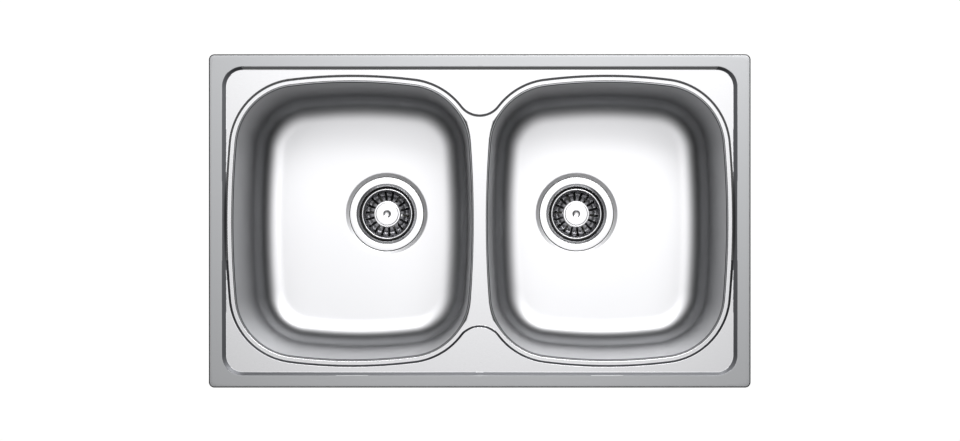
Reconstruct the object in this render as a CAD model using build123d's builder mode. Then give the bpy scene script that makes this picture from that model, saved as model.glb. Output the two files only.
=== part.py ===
from build123d import *

import os
from itertools import pairwise
from math import atan, atan2, cos, degrees, pi, radians, sin, sqrt, tan

# Inset double bowl kitchen sink, in millimetres. X runs along the worktop, Y towards the wall, Z up.
# The origin is the middle of the sink on the worktop plane, which the rim's seal rests on.

# ---------------------------------------------------------------- driving dimensions
# pressed top
sheet = 0.8
rim_length = 780.0
rim_width = 480.0
rim_corner = 8.0
rim_height = 4.0
rim_edge_bend = 1.4
panel_inset_x = 22.0
panel_inset_y = 20.0
panel_corner = 27.0
panel_step = 2.5
panel_step_run = 4.4
well_step = 2.5
well_step_run = 2.8
well_margin = 8.0
saddle_radius = 34.0

# bowls, between strips of the top that keep their width when the rim changes size
side_strip = 33.0
front_strip = 39.0
middle_strip = 20.0
bowl_corner = 91.5
side_bulge = 4.5
end_bulge = 4.9
bowl_depth = 160.0
wall_draft = 3.0
lip_radius = 4.0
lip_bends = 1
floor_radius = 40.0
floor_bends = 3
weld_land = 1.0

# drain place in each bowl, and the dish that the strainer's flange lies in
drain_shift = 36.9
drain_y = 10.8
drain_hole = 46.2
dish_radius = 63.3
dish_flat_radius = 57.8
dish_depth = 3.0

# seal under the rim
seal_width = 7.2
seal_gap = 1.5

# hanger rails and fixing clips
rail_gap = 0.4
rail_gauge = 1.0
rail_flange = 7.0
rail_height = 24.0
rail_lip = 4.0
long_rail_end = 70.0
short_rail_end = 90.0
clip_end = 160.0
claw_rest_turn = 90.0
slot_length = 10.0
slot_height = 4.0
slot_drop = 12.2
bracket_gauge = 1.5
bracket_width = 16.0
bracket_height = 14.0
bracket_shelf = 13.6
bracket_hook = 6.0
tongue_width = 9.4
screw_inset = 8.6
screw_radius = 2.5
screw_length = 33.5
screw_stand_out = 1.0
screw_head_radius = 4.6
screw_head_height = 3.4
collar_wall = 2.0
collar_length = 3.5
washer_radius = 5.2
washer_thickness = 1.0
claw_gauge = 2.0
claw_width = 12.0
claw_reach = 22.0
claw_rise = 8.4
claw_toe = 6.0
claw_teeth = 3
claw_tooth_depth = 1.6

# strainer waste
flange_radius = 56.6
flange_seal_thickness = 1.0
flange_seal_inner = 47.5
steel = 0.8
throat_radius = 42.5
throat_bend = 3.7
seat_top_depth = 11.0
seat_height = 4.0
cup_radius = 38.5
cup_bend = 3.0
cup_depth = 40.0
drain_slots = 6
drain_slot_start = 14.0
drain_slot_end = 32.0
drain_slot_width = 8.0
body_seal_thickness = 4.0
body_inner_radius = 47.0
body_seal_land = 10.0
body_flange_thickness = 4.0
body_wall = 2.6
body_depth = 41.0
shoulder_height = 14.0
outlet_radius = 23.9
outlet_bore = 20.0
outlet_length = 33.0
hub_radius = 8.5
hub_height = 16.0
spider_rib = 3.0
spider_ribs = 4
rib_root = 1.0
clamp_radius = 3.0
clamp_length = 26.0
clamp_head_radius = 8.0
clamp_head_height = 11.0
socket_radius = 4.3
socket_depth = 9.5
nut_flats = 10.0
nut_height = 5.0

# basket
basket_rim_drop = 7.0
basket_gauge = 0.6
basket_rim_radius = 38.9
basket_rim_height = 1.2
basket_mouth_radius = 37.2
basket_floor_radius = 30.0
basket_depth = 16.5
basket_slots = 18
basket_slot_start = 21.6
basket_slot_end = 34.8
basket_slot_width = 2.6
basket_slot_turn = -5.0
basket_seal_top = 10.8
basket_seal_height = 3.6
seal_top_radius = 41.9
seal_foot_radius = 38.6
knob_radius = 20.0
knob_plate = 3.0
knob_crown_radius = 17.0
knob_crown = 2.6
knob_height = 16.0
knob_neck_radius = 8.0
knob_edge = 0.8
dimple_radius = 6.0
dimple_floor_radius = 3.0
dimple_depth = 1.8
stem_radius = 2.5
stem_grip = 8.0
plug_radius = 3.9
plug_length = 6.0
stem_ring_height = 1.3
stem_nut_flats = 9.0
stem_nut_height = 3.0

# sound-deadening pads
pad_drain_edge = 71.9
pad_side_edge = 111.0
pad_end_edge = 58.5
pad_thickness = 2.5

# clearances
thread_clearance = 0.05
ring_clearance = 0.05
soft_clearance = 0.3
hole_clearance = 0.3

# sides of the many-sided rounds, which keep the meshes of the small and hidden pieces light
drain_sides = 20
small_sides = 12
chords = {"side": 2, "corner": 5, "end": 3, "inner": 4, "saddle": 4, "panel": 4}

# ---------------------------------------------------------------- levels and places that follow
panel_z = rim_height - panel_step
well_z = panel_z - well_step
floor_z = rim_height - bowl_depth
dish_z = floor_z - dish_depth
panel_length = rim_length - 2 * panel_inset_x
panel_width = rim_width - 2 * panel_inset_y
bowl_half_length = (rim_length / 2 - side_strip - middle_strip / 2) / 2
bowl_half_width = rim_width / 2 - front_strip
bowl_x = middle_strip / 2 + bowl_half_length
drain_x = bowl_x - drain_shift
long_rail = rim_length - 2 * long_rail_end
short_rail = rim_width - 2 * short_rail_end
clip_spacing = rim_length / 2 - clip_end
body_flange_radius = body_inner_radius + body_seal_land
pad_length = bowl_half_length + drain_shift - pad_end_edge - pad_drain_edge
pad_x = drain_x + pad_drain_edge + pad_length / 2
pad_width = 2 * (bowl_half_width - pad_side_edge)

os.makedirs("parts", exist_ok=True)


def save(part, name):
    """Labels a finished piece and writes its STEP file."""
    part.label = name
    export_step(part, f"parts/{name}.step")


def tapered(outline, foot, top, lean):
    """Solid between two heights over a straight-sided outline.

    Its sides lean in by lean for each unit of rise.
    """
    with BuildPart() as solid:
        with BuildSketch(Plane.XY.offset(foot)):
            add(outline)
        extrude(amount=top - foot)
        if lean:
            sides = solid.faces().filter_by(Axis.Z, reverse=True)
            draft(sides, Plane.XY.offset(foot), degrees(atan(lean)))
    return solid.part


def turned(x, levels, sides=drain_sides):
    """Many-sided solid on the axis of the drain at x, through levels of (radius, height) from the top down.

    Two levels at one height make a flat step between their radii.
    """
    with BuildPart() as solid:
        for (upper, top), (lower, foot) in pairwise(levels):
            if top > foot:
                with BuildSketch(Plane.XY, mode=Mode.PRIVATE) as outline:
                    with Locations((x, drain_y)):
                        RegularPolygon(lower, sides)
                lean = (lower - upper) * cos(pi / sides) / (top - foot)
                add(tapered(outline.sketch, foot, top, lean))
    return solid.part


# ---------------------------------------------------------------- outlines of the pressed top
def rim_outline(grow):
    """Outer edge of the sink."""
    with BuildSketch() as outline:
        RectangleRounded(rim_length + 2 * grow, rim_width + 2 * grow, rim_corner + grow)
    return outline.sketch


def arc_points(centre, radius, start, finish, steps):
    """Points that follow an arc's start at equal turns, for chords in its place."""
    turns = [radians(start + (finish - start) * n / steps) for n in range(1, steps + 1)]
    return [(centre[0] + radius * cos(turn), centre[1] + radius * sin(turn)) for turn in turns]


def mirrored_face(quarter):
    """Face inside a quarter's chords, from the X axis to the Y axis, and their three mirror images."""
    with BuildSketch() as outline:
        with BuildLine():
            Polyline(*quarter)
            mirror(about=Plane.YZ)
            mirror(about=Plane.XZ)
        make_face()
    return outline.sketch


def panel_outline(grow):
    """Edge between the flat rim and the deck panel."""
    half_x, half_y = panel_length / 2 + grow, panel_width / 2 + grow
    corner = panel_corner + grow
    centre = (half_x - corner, half_y - corner)
    turn_in = arc_points(centre, corner, 0, 90, chords["panel"])
    return mirrored_face([(half_x, 0), (half_x, centre[1]), *turn_in, (0, half_y)])


def bulged_arcs(grow):
    """Centre, radius, start angle and end angle of the arcs of a bowl's quarter, from its side to its end.

    A corner arc joins a nearly straight side arc to a nearly straight end arc, each tangent to it.
    The bulges say how far the middle of a side and of an end stand out past the corner arc.
    """
    corner_x = bowl_half_length - bowl_corner - side_bulge
    corner_y = bowl_half_width - bowl_corner - end_bulge
    side_run = bowl_half_length - corner_x
    end_run = bowl_half_width - corner_y
    side_radius = (corner_y**2 + side_run**2 - bowl_corner**2) / (2 * side_bulge)
    end_radius = (corner_x**2 + end_run**2 - bowl_corner**2) / (2 * end_bulge)
    side_angle = degrees(atan2(corner_y, corner_x - bowl_half_length + side_radius))
    end_angle = degrees(atan2(corner_y - bowl_half_width + end_radius, corner_x))
    return {
        "side": ((bowl_half_length - side_radius, 0), side_radius + grow, 0, side_angle),
        "corner": ((corner_x, corner_y), bowl_corner + grow, side_angle, end_angle),
        "end": ((0, bowl_half_width - end_radius), end_radius + grow, end_angle, 90),
    }


def bowl_outline(grow):
    """Mouth of the right-hand bowl, where its lip starts to turn down, its arcs drawn as short chords."""
    quarter = [(bowl_half_length, 0)]
    for name, arc in bulged_arcs(0).items():
        quarter += arc_points(*arc, chords[name])
    with BuildSketch() as outline:
        add(mirrored_face(quarter))
        if grow:
            offset(amount=grow, kind=Kind.INTERSECTION, mode=Mode.REPLACE)
    return Pos(bowl_x, 0) * outline.sketch


def well_outline(grow):
    """Edge of the sunk well round both bowls, drawn in to a saddle between them."""
    arcs = bulged_arcs(well_margin + grow)
    (corner_x, corner_y), corner_radius, start, finish = arcs["corner"]
    (end_x, end_y), end_radius, end_angle, _ = arcs["end"]
    inner_x = bowl_x - corner_x
    reach = saddle_radius + bowl_corner + well_margin
    saddle_y = corner_y + sqrt(reach**2 - inner_x**2)
    meet = degrees(atan2(saddle_y - corner_y, inner_x))
    side = arc_points(*arcs["side"], chords["side"])
    corner = arc_points((corner_x, corner_y), corner_radius, start, finish, chords["corner"])
    end = arc_points((end_x, end_y), end_radius, end_angle, 180 - end_angle, 2 * chords["end"])
    inner = arc_points((-corner_x, corner_y), corner_radius, 180 - finish, 180 - meet, chords["inner"])
    saddle = arc_points((-bowl_x, saddle_y), saddle_radius - grow, -meet, -90, chords["saddle"])
    bowl_side = [(bowl_half_length + well_margin + grow, 0), *side, *corner, *end, *inner, *saddle]
    return mirrored_face([(x + bowl_x, y) for x, y in bowl_side])


def recess(drop):
    """The air over the deck panel and the well, lowered by drop.

    The well's slope runs on up to the rim, so that it joins the rim's own step at the sink's two ends.
    """
    panel_lean = panel_step_run / panel_step
    well_lean = well_step_run / well_step
    with BuildPart() as air:
        outline = panel_outline(-panel_step_run / 2)
        add(tapered(outline, panel_z - drop, rim_height - drop, -panel_lean))
        outline = well_outline(-well_step_run / 2)
        add(tapered(outline, well_z - drop, rim_height - drop, -well_lean))
    return air.part


# ---------------------------------------------------------------- pressed top
inner_edge_bend = rim_edge_bend - (2 - sqrt(2)) * sheet
with BuildPart() as under_top:
    with BuildSketch(Plane.XY.offset(well_z - rim_height)):
        add(rim_outline(-sheet))
    extrude(amount=2 * rim_height - well_z - sheet)
    chamfer(under_top.faces().sort_by(Axis.Z)[-1].edges(), inner_edge_bend)
    add(recess(sheet), mode=Mode.SUBTRACT)

with BuildPart() as sink_top:
    with BuildSketch(Plane.XY):
        add(rim_outline(0))
    extrude(amount=rim_height)
    chamfer(sink_top.faces().sort_by(Axis.Z)[-1].edges(), rim_edge_bend)
    with BuildSketch(Plane.XY.offset(well_z - sheet)):
        add(panel_outline(0))
    extrude(amount=sheet - well_z)
    add(recess(0), mode=Mode.SUBTRACT)
    add(under_top.part, mode=Mode.SUBTRACT)
    with BuildSketch(Plane.XY.offset(well_z - 2 * sheet)):
        add(bowl_outline(weld_land))
        mirror(about=Plane.YZ)
    extrude(amount=3 * sheet, mode=Mode.SUBTRACT)
save(sink_top.part, "sink_top")


# ---------------------------------------------------------------- bowls
def bowl_section(gauge):
    """Inset and height of points down a bowl's wall: its inside at gauge 0, its outside at the sheet's gauge.

    A bend at the lip and one at the floor, with the same centres inside and out, are joined by the wall.
    """
    lean = radians(wall_draft)
    lip_height = well_z - lip_radius
    corner_height = floor_z + floor_radius
    wall_foot = corner_height - floor_radius * sin(lean)
    drop = lip_height + lip_radius * sin(lean) - wall_foot
    corner_inset = (lip_radius + floor_radius) * cos(lean) + drop * tan(lean)
    lip_turns = [radians((90 - wall_draft) * n / lip_bends) for n in range(lip_bends + 1)]
    floor_turns = [radians((90 - wall_draft) * n / floor_bends) for n in range(floor_bends, -1, -1)]
    lip = [
        ((lip_radius - gauge) * sin(turn), lip_height + (lip_radius - gauge) * cos(turn))
        for turn in lip_turns
    ]
    bend = floor_radius + gauge
    corner = [(corner_inset - bend * sin(turn), corner_height - bend * cos(turn)) for turn in floor_turns]
    return lip + corner


def bowl_form(gauge):
    """The inside of the right-hand bowl at gauge 0, or its outside at the sheet's gauge."""
    dish = ((dish_radius + gauge, floor_z - gauge), (dish_flat_radius + gauge, dish_z - gauge))
    with BuildPart() as form:
        for (upper, top), (lower, foot) in pairwise(bowl_section(gauge)):
            add(tapered(bowl_outline(-lower), foot, top, (upper - lower) / (top - foot)))
        add(turned(drain_x, dish))
    return form.part


with BuildPart() as right_bowl:
    with BuildSketch(Plane.XY.offset(well_z - sheet)):
        add(bowl_outline(weld_land))
    extrude(amount=sheet)
    add(bowl_form(sheet))
    add(bowl_form(0), mode=Mode.SUBTRACT)
    hole = ((drain_hole, dish_z + sheet), (drain_hole, dish_z - 2 * sheet))
    add(turned(drain_x, hole), mode=Mode.SUBTRACT)
with BuildPart() as left_bowl:
    add(right_bowl.part)
    mirror(about=Plane.YZ, mode=Mode.REPLACE)
save(left_bowl.part, "left_bowl")
save(right_bowl.part, "right_bowl")

# ---------------------------------------------------------------- seal between the rim and the worktop
seal_reach = sheet + seal_gap
seal_inset = seal_reach + seal_width
with BuildPart() as rim_seal:
    with BuildSketch():
        add(rim_outline(-seal_reach))
        Rectangle(rim_length - 2 * seal_inset, rim_width - 2 * seal_inset, mode=Mode.SUBTRACT)
    extrude(amount=rim_height - sheet)
save(rim_seal.part, "rim_seal")

# ---------------------------------------------------------------- sound-deadening pads under the bowls
for side, turn in (("left", -1), ("right", 1)):
    with BuildPart() as pad:
        with BuildSketch(Plane.XY.offset(floor_z - sheet)):
            with Locations((turn * pad_x, 0)):
                Rectangle(pad_length, pad_width)
        extrude(amount=-pad_thickness)
    save(pad.part, f"{side}_damping_pad")


# ---------------------------------------------------------------- rails welded under the rim, for the clips
web_x = panel_length / 2 + panel_step_run / 2 + rail_gap
web_y = panel_width / 2 + panel_step_run / 2 + rail_gap
rail_top = rim_height - sheet
rail_foot = rail_top - rail_height
slot_foot = rail_top - slot_drop - slot_height


def facing(x, y, turn):
    """Upright plane through (x, y), whose own X points at turn degrees and own Y up."""
    c, s = cos(radians(turn)), sin(radians(turn))
    return Plane(origin=(x, y, 0), x_dir=(c, s, 0), z_dir=(s, -c, 0))


def hanger_rail(x, y, turn, length, slots):
    """Channel with its top flange against the rim's underside and a slot for each clip.

    The middle of its web's inner face is at (x, y), and it faces outwards at turn degrees.
    """
    profile = facing(x, y, turn)
    with BuildPart() as rail:
        with BuildSketch(profile):
            with BuildLine():
                Polyline(
                    (0, rail_foot),
                    (rail_gauge + rail_lip, rail_foot),
                    (rail_gauge + rail_lip, rail_foot + rail_gauge),
                    (rail_gauge, rail_foot + rail_gauge),
                    (rail_gauge, rail_top - rail_gauge),
                    (rail_flange, rail_top - rail_gauge),
                    (rail_flange, rail_top),
                    (0, rail_top),
                    close=True,
                )
            make_face()
        extrude(amount=length / 2, both=True)
        with BuildSketch(Plane(profile.origin, x_dir=(0, 0, 1), z_dir=profile.x_dir)):
            for along in slots:
                with Locations((slot_foot + slot_height / 2, along)):
                    Rectangle(slot_height, slot_length)
        extrude(amount=2 * rail_gauge, both=True, mode=Mode.SUBTRACT)
    return rail.part


long_slots = (-clip_spacing, clip_spacing)
save(hanger_rail(0, -web_y, -90, long_rail, long_slots), "front_rail")
save(hanger_rail(0, web_y, 90, long_rail, long_slots), "back_rail")
save(hanger_rail(-web_x, 0, 180, short_rail, (0,)), "left_rail")
save(hanger_rail(web_x, 0, 0, short_rail, (0,)), "right_rail")

# ---------------------------------------------------------------- fixing clips
clips = {
    "front_left": (-clip_spacing, -web_y, -90),
    "front_right": (clip_spacing, -web_y, -90),
    "right": (web_x, 0, 0),
    "back_right": (clip_spacing, web_y, 90),
    "back_left": (-clip_spacing, web_y, 90),
    "left": (-web_x, 0, 180),
}
screw_tip = rail_foot + collar_length + screw_stand_out
head_top = screw_tip - screw_length
claw_foot = head_top + washer_thickness


def bored(radius, x, y, z, height):
    """Many-sided bore for a round shank: its flats, not its corners, lie at the radius."""
    with BuildPart() as bore:
        with BuildSketch(Plane.XY.offset(z)):
            with Locations((x, y)):
                RegularPolygon(radius, small_sides, major_radius=False)
        extrude(amount=height)
    return bore.part


with BuildPart() as clip_brackets:
    for x, y, turn in clips.values():
        plane = facing(x, y, turn)
        with BuildSketch(plane):
            with Locations((-bracket_gauge / 2, rail_foot + bracket_height / 2)):
                Rectangle(bracket_gauge, bracket_height)
            with Locations((-bracket_shelf / 2, rail_foot + bracket_gauge / 2)):
                Rectangle(bracket_shelf, bracket_gauge)
        extrude(amount=bracket_width / 2, both=True)
        with BuildSketch(plane):
            with Locations((rail_gauge / 2, slot_foot + bracket_gauge / 2)):
                Rectangle(rail_gauge + 2 * bracket_gauge, bracket_gauge)
            with Locations((rail_gauge + bracket_gauge / 2, slot_foot + bracket_hook / 2)):
                Rectangle(bracket_gauge, bracket_hook)
        extrude(amount=tongue_width / 2, both=True)
        axis = plane.from_local_coords((-screw_inset, 0, 0))
        with BuildSketch(Plane.XY.offset(rail_foot)):
            with Locations((axis.X, axis.Y)):
                RegularPolygon(screw_radius + thread_clearance + collar_wall, small_sides)
        extrude(amount=collar_length)
        collar_bore = bored(
            screw_radius + thread_clearance,
            axis.X,
            axis.Y,
            rail_foot - collar_length,
            3 * collar_length,
        )
        add(collar_bore, mode=Mode.SUBTRACT)
save(clip_brackets.part, "clip_brackets")

for place, (x, y, turn) in clips.items():
    axis = facing(x, y, turn).from_local_coords((-screw_inset, 0, 0))
    shank_hole = bored(screw_radius + hole_clearance, axis.X, axis.Y, head_top - claw_gauge, 4 * claw_gauge)

    with BuildPart() as washer:
        with BuildSketch(Plane.XY.offset(head_top)):
            with Locations((axis.X, axis.Y)):
                RegularPolygon(washer_radius, small_sides)
        extrude(amount=washer_thickness)
        add(shank_hole, mode=Mode.SUBTRACT)
    save(washer.part, f"{place}_washer")

    with BuildPart() as screw:
        with BuildSketch(Plane.XY.offset(head_top)):
            with Locations((axis.X, axis.Y)):
                RegularPolygon(screw_radius, small_sides)
        extrude(amount=screw_length)
        with BuildSketch(Plane.XY.offset(head_top)):
            with Locations((axis.X, axis.Y)):
                RegularPolygon(screw_head_radius, small_sides)
        extrude(amount=-screw_head_height)
    save(screw.part, f"{place}_screw")

    with BuildPart() as claw:
        with BuildSketch(facing(axis.X, axis.Y, turn + claw_rest_turn)):
            with BuildLine():
                tooth = claw_toe / claw_teeth
                Polyline(
                    (-claw_width / 2, claw_foot),
                    (claw_reach, claw_foot),
                    *[
                        point
                        for n in range(claw_teeth)
                        for point in (
                            (claw_reach - n * tooth, claw_foot + claw_rise),
                            (claw_reach - (n + 1) * tooth, claw_foot + claw_rise - claw_tooth_depth),
                        )
                    ],
                    (claw_reach - claw_toe, claw_foot + claw_gauge),
                    (-claw_width / 2, claw_foot + claw_gauge),
                    close=True,
                )
            make_face()
        extrude(amount=claw_width / 2, both=True)
        add(shank_hole, mode=Mode.SUBTRACT)
    save(claw.part, f"{place}_claw")

# ---------------------------------------------------------------- strainer wastes
flange_top = dish_z + flange_seal_thickness + steel
cup_floor = flange_top - cup_depth
seal_foot = dish_z - sheet - body_seal_thickness
body_top = seal_foot
shoulder_top = body_top - body_depth
outlet_top = shoulder_top - shoulder_height
hub_top = outlet_top + hub_height
basket_rim_z = flange_top - basket_rim_drop
basket_floor = basket_rim_z - basket_depth
socket_floor = cup_floor + clamp_head_height - socket_depth
plug_foot = socket_floor + soft_clearance
plug_top = plug_foot + plug_length
knob_top = basket_floor + knob_height
plate_top = knob_top - knob_crown
plate_foot = plate_top - knob_plate
wall_slope = (basket_mouth_radius - basket_floor_radius) / basket_depth
wall_gauge = basket_gauge * sqrt(1 + wall_slope**2)


def basket_wall(z):
    """Inside radius of the basket's tapered wall at height z."""
    return basket_mouth_radius + (z - basket_rim_z) * wall_slope


def ring(x, outer, inner, z, height):
    """Flat ring on a drain's axis, standing on z."""
    with BuildPart() as piece:
        add(turned(x, ((outer, z + height), (outer, z))))
        add(turned(x, ((inner, z + height), (inner, z))), mode=Mode.SUBTRACT)
    return piece.part


def strainer_body(x):
    """Pressed steel cup, with the flange that shows in the bowl and the drain slots in its floor."""
    seat_top = flange_top - seat_top_depth
    seat_foot = seat_top - seat_height
    turn_in = (sqrt(2) - 1) * steel
    with BuildPart() as cup:
        outside = (
            (flange_radius, flange_top),
            (flange_radius, flange_top - steel),
            (throat_radius + throat_bend, flange_top - steel),
            (throat_radius + steel, flange_top - throat_bend),
            (throat_radius + steel, seat_top),
            (cup_radius + steel, seat_foot),
            (cup_radius + steel, cup_floor + cup_bend - turn_in),
            (cup_radius - cup_bend + turn_in, cup_floor - steel),
        )
        add(turned(x, outside))
        inside = (
            (throat_radius + throat_bend, flange_top),
            (throat_radius, flange_top - throat_bend),
            (throat_radius, seat_top),
            (cup_radius, seat_foot),
            (cup_radius, cup_floor + cup_bend),
            (cup_radius - cup_bend, cup_floor),
        )
        add(turned(x, inside), mode=Mode.SUBTRACT)
        with BuildSketch(Plane.XY.offset(cup_floor)):
            with Locations((x, drain_y)):
                RegularPolygon(clamp_radius + hole_clearance, small_sides)
                with PolarLocations((drain_slot_start + drain_slot_end) / 2, drain_slots):
                    Rectangle(drain_slot_end - drain_slot_start, drain_slot_width)
        extrude(amount=2 * steel, both=True, mode=Mode.SUBTRACT)
    return cup.part


def waste_body(x):
    """Moulded body that catches the water under the strainer, with the hub that the clamp screw draws up.

    Its shoulder narrows to the outlet, on which the tail piece is welded.
    """
    with BuildPart() as body:
        outside = (
            (body_flange_radius, body_top),
            (body_flange_radius, body_top - body_flange_thickness),
            (body_inner_radius + body_wall, body_top - body_flange_thickness),
            (body_inner_radius + body_wall, shoulder_top),
            (outlet_radius, outlet_top),
        )
        add(turned(x, outside))
        inside = (
            (body_inner_radius, body_top),
            (body_inner_radius, shoulder_top),
            (outlet_bore, outlet_top),
        )
        add(turned(x, inside), mode=Mode.SUBTRACT)
        with BuildSketch(Plane.XY.offset(outlet_top)):
            with Locations((x, drain_y)):
                RegularPolygon(hub_radius, small_sides)
        extrude(amount=hub_height)
        for n in range(spider_ribs):
            with BuildSketch(facing(x, drain_y, (n + 0.5) * 360 / spider_ribs)):
                with BuildLine():
                    Polyline(
                        (0, outlet_top),
                        (outlet_bore + rib_root, outlet_top),
                        (body_inner_radius + rib_root, shoulder_top),
                        (0, shoulder_top),
                        close=True,
                    )
                make_face()
            extrude(amount=spider_rib / 2, both=True)
        with BuildSketch(Plane.XY.offset(outlet_top)):
            with Locations((x, drain_y)):
                RegularPolygon(nut_flats / 2 + soft_clearance, 6, major_radius=False)
        extrude(amount=nut_height, mode=Mode.SUBTRACT)
        add(bored(clamp_radius + hole_clearance, x, drain_y, outlet_top, 2 * hub_height), mode=Mode.SUBTRACT)
    return body.part


def outlet_tail(x):
    """Round tail piece of the outlet, which takes the trap's union nut."""
    with BuildPart() as tail:
        with BuildSketch(Plane.XY.offset(outlet_top)):
            with Locations((x, drain_y)):
                Circle(outlet_radius)
                RegularPolygon(outlet_bore, drain_sides, mode=Mode.SUBTRACT)
        extrude(amount=-outlet_length)
    return tail.part


def basket_cup(x):
    """Pressed basket with a stiff rim and a wheel of slots that run from its floor up its wall."""
    rim_foot = basket_rim_z - basket_rim_height
    outer_foot = basket_floor - basket_gauge
    with BuildPart() as cup:
        outside = (
            (basket_rim_radius, basket_rim_z),
            (basket_rim_radius, rim_foot),
            (basket_wall(rim_foot) + wall_gauge, rim_foot),
            (basket_wall(outer_foot) + wall_gauge, outer_foot),
        )
        add(turned(x, outside))
        inside = ((basket_mouth_radius, basket_rim_z), (basket_floor_radius, basket_floor))
        add(turned(x, inside), mode=Mode.SUBTRACT)
        with BuildSketch(Plane.XY.offset(outer_foot - basket_gauge)):
            with Locations((x, drain_y)):
                RegularPolygon(stem_radius + thread_clearance, small_sides)
                with PolarLocations(0, basket_slots, start_angle=90 + basket_slot_turn):
                    with Locations(((basket_slot_start + basket_slot_end) / 2, 0)):
                        Rectangle(basket_slot_end - basket_slot_start, basket_slot_width)
        extrude(amount=basket_depth - basket_rim_height, mode=Mode.SUBTRACT)
    return cup.part


def basket_seal(x):
    """Rubber ring round the basket's wall, over the strainer's seat."""
    top = flange_top - basket_seal_top
    foot = top - basket_seal_height
    hug = wall_gauge + ring_clearance
    with BuildPart() as seal:
        add(turned(x, ((seal_top_radius, top), (seal_foot_radius, foot))))
        add(turned(x, ((basket_wall(top) + hug, top), (basket_wall(foot) + hug, foot))), mode=Mode.SUBTRACT)
    return seal.part


def knob(x):
    """Turned knob: a neck, an overhanging plate, a raised crown and a dimple, bored for the stem."""
    with BuildPart() as grip:
        outside = (
            (knob_crown_radius - knob_edge, knob_top),
            (knob_crown_radius, knob_top - knob_edge),
            (knob_crown_radius, plate_top),
            (knob_radius - knob_edge, plate_top),
            (knob_radius, plate_top - knob_edge),
            (knob_radius, plate_foot),
            (knob_neck_radius, plate_foot),
            (knob_neck_radius, basket_floor),
        )
        add(turned(x, outside))
        dimple = ((dimple_radius, knob_top), (dimple_floor_radius, knob_top - dimple_depth))
        add(turned(x, dimple, small_sides), mode=Mode.SUBTRACT)
        bore = stem_radius + thread_clearance
        stem_bore = ((bore, basket_floor + stem_grip), (bore, basket_floor))
        add(turned(x, stem_bore, small_sides), mode=Mode.SUBTRACT)
    return grip.part


def stem(x):
    """Stem that carries the knob, with the thick foot that slides in the clamp screw's socket."""
    with BuildPart() as rod:
        levels = (
            (stem_radius, basket_floor + stem_grip),
            (stem_radius, plug_top),
            (plug_radius, plug_top),
            (plug_radius, plug_foot),
        )
        add(turned(x, levels, small_sides))
    return rod.part


def stem_ring(x):
    """Rubber ring on the stem's foot, which rubs in the clamp screw's socket."""
    outer = socket_radius - ring_clearance
    inner = (stem_radius + ring_clearance) / cos(pi / small_sides)
    with BuildPart() as hoop:
        with BuildSketch(Plane.XY.offset(plug_top)):
            with Locations((x, drain_y)):
                RegularPolygon(outer, small_sides)
                RegularPolygon(inner, small_sides, mode=Mode.SUBTRACT)
        extrude(amount=stem_ring_height)
    return hoop.part


def nut(x, flats, z, height, bore):
    """Hexagon nut standing on z."""
    with BuildPart() as piece:
        with BuildSketch(Plane.XY.offset(z)):
            with Locations((x, drain_y)):
                RegularPolygon(flats / 2, 6, major_radius=False)
                RegularPolygon(bore, small_sides, mode=Mode.SUBTRACT)
        extrude(amount=height)
    return piece.part


for side, x in (("left", -drain_x), ("right", drain_x)):
    flange_seal = ring(x, flange_radius - steel, flange_seal_inner, dish_z, flange_seal_thickness)
    body_seal = ring(x, body_flange_radius, body_inner_radius, seal_foot, body_seal_thickness)
    save(flange_seal, f"{side}_flange_seal")
    save(strainer_body(x), f"{side}_strainer_body")
    save(body_seal, f"{side}_body_seal")
    save(waste_body(x), f"{side}_waste_body")
    save(outlet_tail(x), f"{side}_outlet_tail")
    save(basket_cup(x), f"{side}_basket")
    save(basket_seal(x), f"{side}_basket_seal")
    save(knob(x), f"{side}_knob")
    save(stem(x), f"{side}_stem")
    save(stem_ring(x), f"{side}_stem_ring")
    stem_nut = nut(
        x,
        stem_nut_flats,
        basket_floor - basket_gauge - stem_nut_height,
        stem_nut_height,
        stem_radius + thread_clearance,
    )
    save(stem_nut, f"{side}_stem_nut")

with BuildPart() as clamp_screws:
    for x in (-drain_x, drain_x):
        head = ((clamp_head_radius, cup_floor + clamp_head_height), (clamp_head_radius, cup_floor))
        add(turned(x, head, small_sides))
        socket = ((socket_radius, cup_floor + clamp_head_height), (socket_radius, socket_floor))
        add(turned(x, socket, small_sides), mode=Mode.SUBTRACT)
        add(turned(x, ((clamp_radius, cup_floor), (clamp_radius, cup_floor - clamp_length)), small_sides))
save(clamp_screws.part, "clamp_screws")

with BuildPart() as clamp_nuts:
    for x in (-drain_x, drain_x):
        add(nut(x, nut_flats, outlet_top, nut_height, clamp_radius + thread_clearance))
save(clamp_nuts.part, "clamp_nuts")
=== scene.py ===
import logging
from dataclasses import dataclass
from enum import Enum
from math import radians

import bpy
import numpy as np
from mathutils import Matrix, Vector


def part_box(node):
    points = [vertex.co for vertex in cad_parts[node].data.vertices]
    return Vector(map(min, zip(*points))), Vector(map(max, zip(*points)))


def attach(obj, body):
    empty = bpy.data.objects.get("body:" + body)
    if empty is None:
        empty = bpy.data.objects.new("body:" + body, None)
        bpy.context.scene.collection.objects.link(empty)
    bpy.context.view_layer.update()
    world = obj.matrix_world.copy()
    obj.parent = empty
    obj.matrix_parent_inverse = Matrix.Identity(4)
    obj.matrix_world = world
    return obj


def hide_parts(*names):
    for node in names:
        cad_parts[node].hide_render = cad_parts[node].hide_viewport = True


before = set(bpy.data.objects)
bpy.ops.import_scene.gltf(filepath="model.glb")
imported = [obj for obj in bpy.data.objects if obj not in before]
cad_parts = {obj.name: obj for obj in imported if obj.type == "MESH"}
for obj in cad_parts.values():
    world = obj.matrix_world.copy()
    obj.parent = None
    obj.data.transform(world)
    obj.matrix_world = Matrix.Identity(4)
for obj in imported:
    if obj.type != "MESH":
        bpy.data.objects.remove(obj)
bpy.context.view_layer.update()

log = logging.getLogger("sink")

MM = 0.001
Array = np.ndarray

# least distance between two grid lines in millimetres, so that no face is without area
LEAST_STEP = 0.02


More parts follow.
